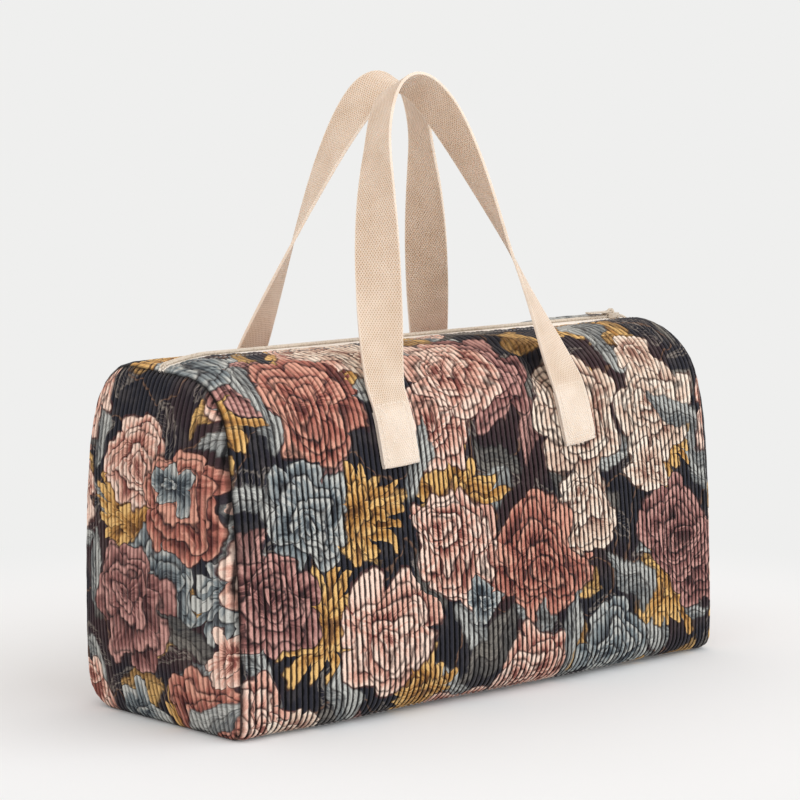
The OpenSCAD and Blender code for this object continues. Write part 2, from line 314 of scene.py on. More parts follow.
PEONY_RINGS = (
    Petals(1.00, 0.26, 7, 0.3, 0.36),
    Petals(0.80, 0.26, 6, 1.9, 0.32),
    Petals(0.61, 0.28, 5, 0.8, 0.28),
    Petals(0.42, 0.30, 4, 2.3, 0.24),
    Petals(0.24, 0.32, 3, 1.2, 0.16),
)
STAR_RINGS = (
    Petals(1.00, 0.46, 15, 0.0, 0.58),
    Petals(0.72, 0.44, 12, 0.9, 0.44),
    Petals(0.42, 0.40, 9, 0.4, 0.30),
)
BUD_RINGS = (
    Petals(1.00, 0.40, 5, 0.0, 0.62),
    Petals(0.34, 0.30, 6, 0.7, 0.24),
)


Palette = Sequence[tuple[float, Tones]]


def choose(g: Graph, value: Feed, palette: Palette, *shades: str) -> list[Socket]:
    """Picks one of several tones by a number from 0 to 1.

    Args:
        g: graph to write to.
        value: the number.
        palette: tones with the number from which each holds.
        shades: names of the tones' colours that are wanted.

    Returns:
        The colour outputs, one for each shade.
    """
    picked = []
    for shade in shades:
        ramp = g.node("ValToRGB")
        ramp.color_ramp.interpolation = "CONSTANT"
        stops = ramp.color_ramp.elements
        while len(stops) < len(palette):
            stops.new(1.0)
        for stop, (start, tones) in zip(stops, palette):
            stop.position = start
            stop.color = getattr(tones, shade)
        g.feed(ramp.inputs["Fac"], value)
        picked.append(ramp.outputs["Color"])
    return picked


def bloom_group(name: str, rings: Sequence[Petals], roundness: float, palette: Palette) -> Tree:
    """Makes a group that prints one flower in each cell of a net.

    Args:
        name: name of the group.
        rings: rings of petals from the outside inwards.
        roundness: power of the petal's edge, small for broad round petals.
        palette: tones that the flowers take in turn, with the number from which each holds.

    Returns:
        The group, which gives the flower's colour and its mask.
    """
    made = Group(
        name,
        {"Cell Vector": "Vector", "Radius": "Float", "Presence": "Float"},
        {"Color": "Color", "Mask": "Float"},
    )
    g, takes = made.graph, made.takes
    centre, (chance, wobble, pick) = g.cell(takes["Cell Vector"], 0.42)
    hue = g.math("FRACT", g.scaled(chance, 7.13, g.times(wobble, 3.7)))
    light, mid, deep = choose(g, hue, palette, "light", "mid", "deep")
    turn = g.times(chance, 6.283)
    size = g.times(takes["Radius"], g.scaled(wobble, 0.30, 0.76))
    away = g.vector("DIVIDE", g.vector("SUBTRACT", takes["Cell Vector"], centre), g.join(size, size, 1.0))
    lean = g.join(g.math("COSINE", turn), g.math("SINE", turn))
    x, y = g.flat(away)
    angle = g.math("ADD", g.math("ARCTAN2", y, x), turn)
    middle = g.vector("LENGTH", away)
    strokes = g.join(g.times(angle, 6.0), g.scaled(middle, 1.8, g.times(pick, 40.0)))
    brush = g.noise(strokes, 1.0, 3.0)
    streak = g.scaled(brush.outputs["Fac"], 1.5, -0.75)
    colour: Feed = deep
    ink: Feed = 0.0
    mask: Feed = 0.0
    for index, ring in enumerate(rings):
        moved = g.vector("MULTIPLY_ADD", lean, (0.30 * (1 - ring.reach),) * 3, away)
        x, y = g.flat(moved)
        far = g.vector("LENGTH", moved)
        along = g.scaled(g.math("ADD", g.math("ARCTAN2", y, x), turn), ring.count / 2, ring.turn)
        wave = g.math("ABSOLUTE", g.math("COSINE", along))
        number = g.math("FLOOR", g.scaled(along, 1 / math.pi, 0.5 + 17 * index))
        tint = g.hash(number, pick)
        arch = g.times(g.math("POWER", wave, roundness), g.scaled(tint, 0.5, 0.62))
        edge = g.scaled(arch, ring.reach * ring.scallop, ring.reach * (1 - ring.scallop))
        inside = g.math("SUBTRACT", edge, far)
        cover = g.times(inside, 34.0, clamp=True)
        depth = g.times(inside, 1 / ring.fade, clamp=True)
        side = g.math("POWER", g.math("SUBTRACT", 1.0, wave), 3.0)
        tone = g.math("ADD", depth, g.scaled(tint, 0.5, -0.25))
        tone = g.scaled(side, 0.5, g.math("ADD", tone, streak), clamp=True)
        petal = g.colour(g.ease(tone, 0.02, 0.58), light, mid)
        petal = g.colour(g.ease(tone, 0.50, 1.05), petal, deep)
        colour = g.colour(cover, colour, petal)
        line = g.scaled(g.math("ABSOLUTE", inside), -26.0, 1.0, clamp=True)
        hatch = g.math("ABSOLUTE", g.math("SINE", g.times(along, 3.0)))
        hatch = g.scaled(hatch, -3.6, g.scaled(depth, 1.6, -0.35), clamp=True)
        drawn = g.math("MAXIMUM", line, g.times(g.times(hatch, cover), 0.7))
        ink = g.math("MAXIMUM", g.times(ink, g.math("SUBTRACT", 1.0, cover)), drawn)
        if index == 0:
            mask = g.scaled(inside, 24.0, 0.8, clamp=True)
    colour = g.colour(g.times(ink, 0.80), colour, INK)
    here = g.math("LESS_THAN", pick, takes["Presence"])
    return made.done(Color=colour, Mask=g.times(mask, here))


def leaf_group(palette: Palette) -> Tree:
    """Makes a group that prints one veined leaf in each cell of a net.

    Args:
        palette: tones that the leaves take in turn, with the number from which each holds.

    Returns:
        The group, which gives the leaf's colour, its mask and its drawn lines.
    """
    made = Group(
        "Veined leaf",
        {"Cell Vector": "Vector", "Length": "Float", "Width": "Float", "Presence": "Float"},
        {"Color": "Color", "Mask": "Float", "Line": "Float"},
    )
    g, takes = made.graph, made.takes
    centre, (chance, wobble, pick) = g.cell(takes["Cell Vector"], 0.45)
    turned = g.node("VectorRotate", rotation_type="Z_AXIS")
    g.feed(turned.inputs["Vector"], g.vector("SUBTRACT", takes["Cell Vector"], centre))
    g.feed(turned.inputs["Angle"], g.times(chance, 6.283))
    x, y = g.flat(turned.outputs["Vector"])
    along = g.math("DIVIDE", x, takes["Length"])
    square = g.times(along, along)
    bend = g.scaled(wobble, 0.9, -0.45)
    across = g.math("ADD", g.math("DIVIDE", y, takes["Width"]), g.times(square, bend))
    reach = g.times(g.math("SUBTRACT", 1.0, square), g.scaled(along, -0.35, 1.0))
    off = g.math("ABSOLUTE", across)
    slant = g.scaled(off, -0.55, along)
    saw = g.times(g.math("ABSOLUTE", g.math("SINE", g.times(slant, 12.0))), 0.10)
    inside = g.math("SUBTRACT", g.math("SUBTRACT", reach, saw), off)
    vein = g.math("SINE", g.times(slant, 19.0))
    line = g.scaled(g.math("ABSOLUTE", vein), -3.2, 1.0, clamp=True)
    rib = g.scaled(off, -9.0, 1.0, clamp=True)
    rim = g.scaled(g.math("ABSOLUTE", inside), -7.0, 1.0, clamp=True)
    ink = g.math("MAXIMUM", g.times(line, 0.8), g.math("MAXIMUM", rib, rim))
    strokes = g.join(g.times(slant, 7.0), g.scaled(across, 2.0, g.times(pick, 30.0)))
    brush = g.noise(strokes, 1.0, 2.0)
    half = g.ease(across, -0.25, 0.35)
    tone = g.scaled(half, 0.5, g.scaled(brush.outputs["Fac"], 1.1, -0.38), clamp=True)
    hue = g.math("FRACT", g.scaled(chance, 5.3, g.times(wobble, 2.9)))
    light, dark = choose(g, hue, palette, "light", "deep")
    colour = g.colour(tone, light, dark)
    colour = g.colour(g.times(ink, 0.78), colour, INK)
    here = g.math("LESS_THAN", pick, takes["Presence"])
    mask = g.times(g.scaled(inside, 7.0, 0.6, clamp=True), here)
    return made.done(Color=colour, Mask=mask, Line=g.times(ink, mask))


class Kind(Enum):
    """Shapes that the print repeats."""

    LEAF = "leaf"
    SKETCH = "sketched leaf"
    PEONY = "peony"
    STAR = "star"
    BUD = "bud"


@dataclass(frozen=True)
class Motif:
    """One layer of the print: a flower or leaf repeated on its own turned net."""

    kind: Kind
    cell: float
    turn: float
    shift: tuple[float, float]
    presence: float
    size: tuple[float, ...]


PRINT_LAYERS = (
    Motif(Kind.SKETCH, 0.058, 48, (0.2, 0.6), 0.85, (0.46, 0.20)),
    Motif(Kind.LEAF, 0.058, 24, (0.3, 0.1), 0.92, (0.48, 0.19)),
    Motif(Kind.LEAF, 0.070, -38, (0.7, 0.4), 0.78, (0.47, 0.20)),
    Motif(Kind.STAR, 0.116, 17, (0.55, 0.2), 0.80, (0.42,)),
    Motif(Kind.PEONY, 0.112, -21, (0.15, 0.65), 0.78, (0.43,)),
    Motif(Kind.LEAF, 0.092, 71, (0.5, 0.9), 0.46, (0.42, 0.15)),
    Motif(Kind.PEONY, 0.120, 33, (0.85, 0.35), 0.74, (0.43,)),
    Motif(Kind.BUD, 0.092, 9, (0.4, 0.9), 0.32, (0.27,)),
)


def floral_group() -> Tree:
    """Makes the whole print, on cloth coordinates in metres, and returns the group."""
    leaf = leaf_group(((0.0, SLATE), (0.42, MUSTARD), (0.74, DUSK), (0.90, MAUVE)))
    blooms = {
        Kind.PEONY: bloom_group(
            "Full bloom", PEONY_RINGS, 0.45,
            ((0.0, BLUSH), (0.36, TERRACOTTA), (0.60, MAUVE), (0.74, CREAM), (0.88, SLATE)),
        ),
        Kind.STAR: bloom_group(
            "Many-petalled bloom", STAR_RINGS, 0.8, ((0.0, MUSTARD), (0.72, SLATE), (0.88, TERRACOTTA))
        ),
        Kind.BUD: bloom_group("Small bloom", BUD_RINGS, 0.6, ((0.0, CREAM), (0.40, SLATE), (0.70, BLUSH))),
    }
    made = Group("Floral print", {"Vector": "Vector"}, {"Color": "Color"})
    g = made.graph
    half = (0.5, 0.5, 0.5)
    flat = g.vector("MULTIPLY", made.takes["Vector"], (1.0, 1.0, 0.0))
    broad = g.vector("SUBTRACT", g.noise(flat, 24.0, 1.0).outputs["Color"], half)
    fine = g.vector("SUBTRACT", g.noise(flat, 110.0, 1.5).outputs["Color"], half)
    hand = g.vector("MULTIPLY_ADD", broad, (0.034,) * 3, g.vector("MULTIPLY", fine, (0.0060,) * 3))
    drawn = g.vector("ADD", flat, hand)
    shade = g.noise(flat, 9.0, 2.0).outputs["Fac"]
    colour = g.colour(g.ease(shade, 0.48, 0.68), CHARCOAL, PLUM)
    stem = g.math("ABSOLUTE", g.math("SUBTRACT", g.noise(drawn, 15.0, 0.0).outputs["Fac"], 0.5))
    stem = g.scaled(stem, -80.0, 1.0, clamp=True)
    colour = g.colour(g.times(stem, 0.7), colour, STEM)
    for layer in PRINT_LAYERS:
        where = g.place(drawn, layer.cell, layer.turn, layer.shift)
        if layer.kind in blooms:
            tree, sizes = blooms[layer.kind], dict(zip(("Radius",), layer.size))
        else:
            tree, sizes = leaf, dict(zip(("Length", "Width"), layer.size))
        motif = g.group(tree, Cell_Vector=where, Presence=layer.presence, **sizes)
        if layer.kind is Kind.SKETCH:
            colour = g.colour(g.times(motif.outputs["Line"], 0.6), colour, PALE_LINE)
        else:
            colour = g.colour(motif.outputs["Mask"], colour, motif.outputs["Color"])
    return made.done(Color=colour)


def wale_group(pitch: float) -> Tree:
    """Makes the rib mask of corduroy.

    Args:
        pitch: width of one wale in metres.

    Returns:
        The group, which gives 1 in the valleys and 0 on the wales.
    """
    made = Group("Corduroy wales", {"Vector": "Vector"}, {"Valley": "Float"})
    g = made.graph
    across, _ = g.flat(made.takes["Vector"])
    wander = g.scaled(g.noise(made.takes["Vector"], 160.0, 2.0).outputs["Fac"], 0.30, -0.15)
    turn = g.math("FRACT", g.scaled(across, 1 / pitch, wander))
    far = g.math("ABSOLUTE", g.scaled(turn, 2.0, -1.0))
    return made.done(Valley=g.ease(far, 0.32, 0.82))


def twill_group() -> Tree:
    """Makes a dotted weave on cloth coordinates and returns the group, which gives its height."""
    made = Group("Dotted weave", {"Vector": "Vector", "Pitch": "Float"}, {"Height": "Float"})
    g = made.graph
    x, y = g.flat(g.vector("DIVIDE", made.takes["Vector"], made.takes["Pitch"]))
    rise = g.math("COSINE", g.times(g.scaled(y, 0.62, x), math.pi))
    fall = g.math("COSINE", g.times(g.scaled(y, -0.62, x), math.pi))
    dots = g.times(g.times(rise, rise), g.times(fall, fall))
    return made.done(Height=g.math("SUBTRACT", 1.0, dots))


# Finishes


@dataclass(frozen=True)
class Corduroy:
    """Printed jumbo corduroy with a soft pile, with painted shade darkening its wale valleys and creases."""

    pitch: float = 0.005
    valley_shade: float = 0.96
    valley_tint: Colour = (0.032, 0.030, 0.037, 1.0)
    rubbed: Colour = srgb(196, 182, 172)
    pile: float = 1500.0

    def material(self) -> Material:
        """Returns the finished material."""
        made, g, shader = new_material("Printed corduroy")
        cloth = g.node("UVMap", uv_map="Cloth").outputs["UV"]
        print_colour = g.group(floral_group(), Vector=cloth).outputs["Color"]
        valley = g.group(wale_group(self.pitch), Vector=cloth).outputs["Valley"]
        stretched = g.vector("MULTIPLY", cloth, (1.0, 0.55, 0.0))
        fuzz = g.noise(stretched, self.pile, 2.0).outputs["Fac"]
        patch = g.noise(cloth, 60.0, 3.0).outputs["Fac"]
        worn = g.colour(g.times(g.ease(patch, 0.45, 0.75), 0.05), print_colour, self.rubbed)
        grain = g.scaled(fuzz, 0.5, 0.75)
        tinted = g.colour(1.0, worn, g.join(grain, grain, grain), "MULTIPLY")
        # Painted shade: the colour is darkened towards near-black in the wale valleys, as far as the mesh's
        # per-point share allows, and in creases where that share is above 1.
        dark = g.colour(1.0, tinted, self.valley_tint, "MULTIPLY")
        relief = g.node("Attribute", attribute_name="Relief").outputs["Fac"]
        shade = g.times(valley, g.math("MINIMUM", relief, 1.0))
        crease = g.math("SUBTRACT", relief, 1.0)
        shade = g.times(g.math("MAXIMUM", shade, crease), self.valley_shade)
        g.feed(shader.inputs["Base Color"], g.colour(shade, tinted, dark))
        settle(
            shader, Roughness=0.92, Specular_IOR_Level=0.15, Sheen_Weight=0.10, Sheen_Roughness=0.45,
            Sheen_Tint=(1.0, 0.93, 0.88, 1.0),
        )
        g.bump(shader, fuzz, 0.5, 0.0006)
        return made


@dataclass(frozen=True)
class WovenCotton:
    """Woven cotton for webbing, zip tape and thread, with painted shade in the weave's hollows and, by
    depth, on the free webbing.
    """

    name: str
    colour: Colour
    # shade is the darker colour painted into the weave's hollows and the free webbing as shade, and also
    # taken in random blotches.
    shade: Colour
    pitch: float
    relief: float = 0.0004
    contrast: float = 0.6
    glow: float = 0.0
    depth: float = 0.0

    def material(self, weave: Tree) -> Material:
        """Returns the finished material, with its weave from a shared group."""
        made, g, shader = new_material(self.name)
        cloth = g.node("UVMap", uv_map="Cloth").outputs["UV"]
        height = g.group(weave, Vector=cloth, Pitch=self.pitch).outputs["Height"]
        fibre = g.noise(cloth, 2200.0, 2.0).outputs["Fac"]
        soft = g.noise(cloth, 45.0, 2.0).outputs["Fac"]
        relief = g.node("Attribute", attribute_name="Relief").outputs["Fac"]
        # Painted shade: the colour is pulled towards the shade colour in the weave's hollows and, by depth,
        # wherever the mesh's share of shade is high; the soft noise adds random blotches.
        low = g.times(g.math("SUBTRACT", 1.0, g.ease(height, 0.15, 0.85)), relief)
        patchy = g.scaled(relief, self.depth, g.scaled(soft, 0.4, -0.18))
        tone = g.scaled(low, self.contrast, patchy, clamp=True)
        base = g.colour(tone, self.colour, self.shade)
        flecked = g.scaled(fibre, 0.20, 0.90)
        tinted = g.colour(1.0, base, g.join(flecked, flecked, flecked), "MULTIPLY")
        g.feed(shader.inputs["Base Color"], tinted)
        settle(
            shader, Roughness=0.85, Specular_IOR_Level=0.2, Sheen_Weight=0.15, Sheen_Roughness=0.5,
            Subsurface_Weight=self.glow, Subsurface_Radius=(1.0, 0.85, 0.70), Subsurface_Scale=0.004,
        )
        g.bump(shader, g.scaled(fibre, 0.3, height), 0.8, self.relief)
        return made


@dataclass(frozen=True)
class Lacquer:
    """Smooth coated finish of the slider, the pull and the coils."""

    name: str
    colour: Colour
    worn: Colour
    roughness: float
    coat: float

    def material(self) -> Material:
        """Returns the finished material."""
        made, g, shader = new_material(self.name)
        place = g.node("TexCoord").outputs["Object"]
        cloud = g.node("TexNoise")
        g.feed(cloud.inputs["Vector"], place)
        settle(cloud, Scale=420.0, Detail=3.0)
        share = g.ease(cloud.outputs["Fac"], 0.42, 0.72)
        g.feed(shader.inputs["Base Color"], g.colour(share, self.colour, self.worn))
        g.feed(shader.inputs["Roughness"], g.scaled(share, 0.18, self.roughness))
        settle(shader, Coat_Weight=self.coat, Coat_Roughness=0.25)
        g.bump(shader, cloud.outputs["Fac"], 0.15, 0.0002)
        return made


class Finishes:
    """All materials of the bag, made once."""

    def __init__(self) -> None:
        """Makes the materials."""
        weave = twill_group()

        def woven(name: str, colour: Colour, shade: Colour, **sizes: float) -> Material:
            """Returns a woven cotton in two colours."""
            return WovenCotton(name, colour, shade, **sizes).material(weave)

        self.corduroy = Corduroy().material()
        # The webbing's tan is painted shade in its weave, and depth darkens its free upper parts with
        # painted shade.
        self.webbing = woven(
            "Cotton webbing", srgb(234, 218, 203), srgb(178, 148, 114),
            pitch=0.0021, relief=0.0003, contrast=0.70, glow=0.30, depth=0.20,
        )
        self.tape = woven("Zip tape", srgb(246, 239, 230), srgb(222, 210, 196), pitch=0.0012, relief=0.0002)
        thread = {"pitch": 0.0008, "relief": 0.0001}
        self.thread = woven("Cream thread", srgb(240, 228, 214), srgb(206, 186, 164), **thread)
        self.hem_thread = woven("Grey thread", srgb(158, 154, 152), srgb(112, 110, 112), **thread)
        nylon = Lacquer("Nylon coil", srgb(224, 214, 200), srgb(200, 186, 168), roughness=0.42, coat=0.1)
        enamel = Lacquer("Cream lacquer", srgb(216, 203, 186), srgb(186, 170, 150), roughness=0.30, coat=0.4)
        self.coil, self.lacquer = nylon.material(), enamel.material()


# Meshes


def link(name: str, data: bpy.types.ID) -> Piece:
    """Returns a new object, linked to the scene."""
    made = bpy.data.objects.new(name, data)
    bpy.context.scene.collection.objects.link(made)
    return made


def to_mesh(name: str, shape: bmesh.types.BMesh) -> tuple[Mesh, Array]:
    """Returns a mesh made from a bmesh, which is freed, and the places of its vertices."""
    mesh = bpy.data.meshes.new(name)
    shape.to_mesh(mesh)
    shape.free()
    flat = np.empty(len(mesh.vertices) * 3)
    mesh.vertices.foreach_get("co", flat)
    return mesh, flat.reshape(-1, 3)


def cloth_piece(name: str, mesh: Mesh, cloth: Array) -> Piece:
    """Returns a smooth object with cloth coordinates in metres for the mesh's vertices."""
    corner = np.empty(len(mesh.loops), dtype=np.int32)
    mesh.loops.foreach_get("vertex_index", corner)
    layer = mesh.uv_layers.new(name="Cloth")
    layer.data.foreach_set("uv", cloth[corner].astype(np.float32).ravel())
    mesh.polygons.foreach_set("use_smooth", np.ones(len(mesh.polygons), dtype=bool))
    return link(name, mesh)


def sheet(name: str, points: Array, cloth: Array, relief: Array) -> Piece:
    """Makes a cloth piece from a grid whose points are moved onto their surface.

    Args:
        name: name of the piece.
        points: places of the grid's points, by column and row.
        cloth: their cloth coordinates.
        relief: share of the painted shade that darkens the weave's hollows there, and above 1 how dark the
            shade painted into a crease is.

    Returns:
        The new object, linked to the scene.
    """
    cols, rows = points.shape[0] - 1, points.shape[1] - 1
    shape = bmesh.new()
    bmesh.ops.create_grid(shape, x_segments=cols, y_segments=rows, size=0.5)
    mesh, flat = to_mesh(name, shape)
    col = np.rint((flat[:, 0] + 0.5) * cols).astype(int)
    row = np.rint((flat[:, 1] + 0.5) * rows).astype(int)
    mesh.vertices.foreach_set("co", points[col, row].astype(np.float32).ravel())
    # Per-point share of painted shade, which the shaders read.
    shown = mesh.attributes.new("Relief", "FLOAT", "POINT")
    shown.data.foreach_set("value", relief[col, row].astype(np.float32))
    made = cloth_piece(name, mesh, cloth[col, row])
    mesh.update()
    return made


def thicken(piece: Piece, thickness: float, offset: float) -> None:
    """Gives a sheet its thickness, inwards where offset is -1 and both ways where it is 0."""
    wall = piece.modifiers.new("Thickness", "SOLIDIFY")
    wall.thickness = thickness
    wall.offset = offset
    wall.use_even_offset = False


@dataclass
class StitchRow:
    """A row of thread stitches lying on a surface."""

    name: str
    length: float
    width: float
    height: float

    def build(self, centres: Array, ways: Array, normals: Array) -> Piece:
        """Makes the row.

        Args:
            centres: middle of each stitch.
            ways: direction of each stitch.
            normals: outward direction of the cloth under each stitch.

        Returns:
            One object that holds every stitch.
        """
        shape = bmesh.new()
        for centre, way, normal in zip(centres, ways, normals):
            along = Vector(way).normalized()
            out = Vector(normal)
            out = (out - along * out.dot(along)).normalized()
            axes = Matrix((along, out.cross(along), out)).transposed().to_4x4()
            size = Matrix.Diagonal((self.length / 2, self.width / 2, self.height / 2, 1.0))
            place = Matrix.Translation(Vector(centre)) @ axes @ size
            bmesh.ops.create_icosphere(shape, subdivisions=2, radius=1.0, matrix=place)
        mesh, flat = to_mesh(self.name, shape)
        return cloth_piece(self.name, mesh, flat[:, [0, 2]])


def dress(piece: Piece, body: str, slot: str, material: Material, *stands_for: str) -> None:
    """Gives a piece its material, parents it to its body and hides the parts that it stands for.

    Args:
        piece: the finished object.
        body: body that it moves with.
        slot: not used.
        material: its material.
        stands_for: nodes that it stands for.
    """
    piece.data.materials.clear()
    piece.data.materials.append(material)
    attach(piece, body)
    if stands_for:
        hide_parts(*stands_for)
    LOG.info("made %s on %s", piece.name, body)


# Body of the bag


@dataclass
class BodyShape:
    """The smooth surface of the stuffed bag, which panels, zip and handles share."""

    half_length: float = 0.250
    height: float = 0.272
    depth: float = 0.218
    end_depth: float = 0.189
    shoulder_depth: float = 0.176
    end_shoulder_depth: float = 0.160
    shoulder_radius: float = 0.062
    left_shoulder_radius: float = 0.050
    right_shoulder_radius: float = 0.058
    base_radius: float = 0.030
    end_base_radius: float = 0.022
    base_seam: float = 0.0795
    belly_power: float = 2.5
    hem_drop: float = 0.0028
    shoulder_drop: float = 0.0055
    fuller_by: float = 0.004
    fuller_from: float = 0.110
    fuller_to: float = 0.200
    shoulder_follow: float = 0.75
    zip_show: float = 0.0085
    zip_end_show: float = 0.0034
    zip_taper: float = 2.2
    slope_left: float = 0.042
    slope_right: float = 0.016
    drop_left: float = 0.006
    drop_right: float = 0.009
    slope_power: float = 1.35
    crown: float = math.radians(88)
    lean_top: float = math.radians(11)
    lean_low: float = math.radians(2)
    seam_roll: float = 0.0048
    seam_width: float = 0.0075

    def belly(self, x: Array) -> Array:
        """Returns 1 half way along the bag and 0 at its end seams."""
        return 1 - np.minimum(1, np.abs(x) / self.half_length) ** self.belly_power

    def fall(self, x: Array) -> Array:
        """Returns how far the zip has come down at x, as a share of its whole slope."""
        left = (-x - self.half_length + self.slope_left) / self.slope_left
        right = (x - self.half_length + self.slope_right) / self.slope_right
        return np.clip(np.where(x < 0, left, right), 0, None) ** self.slope_power

    def drop(self, x: Array) -> Array:
        """Returns how far the zip has come down at x in metres."""
        return self.fall(x) * np.where(x < 0, self.drop_left, self.drop_right)

    def zip_half(self, x: Array) -> Array:
        """Returns half the width of zip that shows at x."""
        return mix(self.zip_show, self.zip_end_show, np.minimum(1, self.zip_taper * self.fall(x)))

    def crown_drop(self, x: Array) -> Array:
        """Returns how far the shoulder lies below the zip at x: the bag is fuller to the right."""
        share = smooth((x - self.fuller_from) / (self.fuller_to - self.fuller_from))
        return self.shoulder_drop - self.fuller_by * share

    def outline(self, x: Array, t: Array) -> tuple[Array, Array]:
        """Gives the half cross-section of the bag.

        Args:
            x: places along the bag.
            t: 0 at the hem, 1 at the crown, 2 under the shoulder, 3 above the base and
                4 at the base seam. It has the shape of x or one that fits it.

        Returns:
            Depth from the middle and height above the ground.
        """
        share, fall = self.belly(x), np.minimum(1, self.fall(x))
        end_radius = np.where(x < 0, self.left_shoulder_radius, self.right_shoulder_radius)
        radius = mix(self.shoulder_radius, end_radius, fall)
        top = self.height - self.crown_drop(x) - self.shoulder_follow * self.drop(x)
        centre_y = mix(self.end_shoulder_depth, self.shoulder_depth, share) / 2 - radius
        centre_z = top - radius
        low_radius = mix(self.end_base_radius, self.base_radius, share)
        low_y = mix(self.end_depth, self.depth, share) / 2 - low_radius
        hem_y, hem_z = self.zip_half(x), self.height - self.hem_drop - self.drop(x)
        crown_y, crown_z = centre_y + radius * math.cos(self.crown), centre_z + radius * math.sin(self.crown)
        s = np.clip(t, 0, 1)
        y, z = mix(hem_y, crown_y, s), mix(hem_z, crown_z, s)
        angle = mix(self.crown, self.lean_top, np.clip(t - 1, 0, 1))
        y = np.where(t > 1, centre_y + radius * np.cos(angle), y)
        z = np.where(t > 1, centre_z + radius * np.sin(angle), z)
        high_y = centre_y + radius * math.cos(self.lean_top)
        high_z = centre_z + radius * math.sin(self.lean_top)
        foot_y = low_y + low_radius * math.cos(self.lean_low)
        foot_z = low_radius + low_radius * math.sin(self.lean_low)
        span = np.hypot(high_y - foot_y, high_z - foot_z)
        bow = span * math.tan((self.lean_top - self.lean_low) / 4)
        lean = (self.lean_top + self.lean_low) / 2
        bend_y = (high_y + foot_y) / 2 + bow * math.cos(lean)
        bend_z = (high_z + foot_z) / 2 + bow * math.sin(lean)
        s = np.clip(t - 2, 0, 1)
        y = np.where(t > 2, (1 - s) ** 2 * high_y + 2 * s * (1 - s) * bend_y + s * s * foot_y, y)
        z = np.where(t > 2, (1 - s) ** 2 * high_z + 2 * s * (1 - s) * bend_z + s * s * foot_z, z)
        under = -np.arccos(np.clip((self.base_seam - low_y) / low_radius, -1, 1))
        angle = mix(self.lean_low, under, np.clip(t - 3, 0, 1))
        y = np.where(t > 3, low_y + low_radius * np.cos(angle), y)
        z = np.where(t > 3, low_radius + low_radius * np.sin(angle), z)
        return y, z

    def under(self, x: Array, y: Array) -> Array:
        """Returns the height above the ground of the underside at places of the plan."""
        share = self.belly(x)
        radius = mix(self.end_base_radius, self.base_radius, share)
        past = np.clip(np.abs(y) - mix(self.end_depth, self.depth, share) / 2 + radius, 0, radius)
        return radius - np.sqrt(radius**2 - past**2)

    def roll(self, x: Array) -> Array:
        """Returns how far the cloth has turned in at x, where it meets the end seams."""
        share = np.clip((self.half_length - np.abs(x)) / self.seam_width, 0, 1)
        return self.seam_roll * (1 - np.sqrt(1 - (1 - share) ** 2))

    def normal(self, x: Array, t: Array) -> tuple[Array, Array]:
        """Returns the outward direction of the cross-section as depth and height."""
        step = 0.01
        y0, z0 = self.outline(x, np.clip(t - step, 0, 4))
        y1, z1 = self.outline(x, np.clip(t + step, 0, 4))
        length = np.hypot(y1 - y0, z1 - z0)
        return -(z1 - z0) / length, (y1 - y0) / length

    def at_height(self, x: float, z: float) -> float:
        """Returns the place along the outline, below the crown, that has a height."""
        t = np.linspace(1.0, 4.0, 600)
        _, heights = self.outline(np.full_like(t, x), t)
        return float(np.interp(-z, -heights, t))


@dataclass(frozen=True)
class Ripple:
    """A soft even swell of a surface, from waves that each cross the cloth their own way."""

    height: float
    seed: float
    lengths: tuple[float, ...]

    def at(self, x: Array, y: Array, place: int) -> Array:
        """Returns the swell at cloth coordinates, with its own phases for each side or end."""
        seed = self.seed + place
        total = np.zeros_like(x)
        for index, length in enumerate(self.lengths):
            way, phase = seed * 1.7 + index * 2.4, seed * 3.1 + index * 1.3
            total = total + np.sin(math.tau / length * (x * math.cos(way) + y * math.sin(way)) + phase)
        return self.height * total / len(self.lengths)


@dataclass(frozen=True)
class Mound:
    """A soft rise or, where its height is below 0, a soft dip of the cloth."""

    x: float
    v: float
    reach: float
    width: float
    height: float
    slant: float = 0.0

    def at(self, x: Array, v: Array) -> Array:
        """Returns the height at x along the bag and v below the hem."""
        off = v - self.v - self.slant * (x - self.x)
        return self.height * np.exp(-(((x - self.x) / self.reach) ** 2) - (off / self.width) ** 2)


HOLLOW = (
    Mound(0.070, 0.0710, 0.014, 0.014, -0.0100),
    Mound(0.068, 0.0545, 0.020, 0.005, -0.0040, 0.6),
    Mound(0.050, 0.0287, 0.030, 0.010, 0.0032, 0.6),
)


@dataclass
class Wales:
    """Rounded ribs of the corduroy."""

    pitch: float = 0.005
    depth: float = 0.0019
    steps: tuple[float, ...] = (0.0, 0.10, 0.28, 0.50, 0.72, 0.90)

    def columns(self, count: int) -> tuple[Array, Array]:
        """Gives the columns of a ribbed sheet.

        Args:
            count: number of wales.

        Returns:
            Place of each column in metres and its height below the top of the wale.
        """
        turn = np.array([wale + step for wale in range(count) for step in self.steps] + [count])
        across = 2 * (turn % 1) - 1
        arch = np.sqrt(np.clip(1 - across**2, 0, 1))
        return turn * self.pitch, -self.depth * (1 - arch)


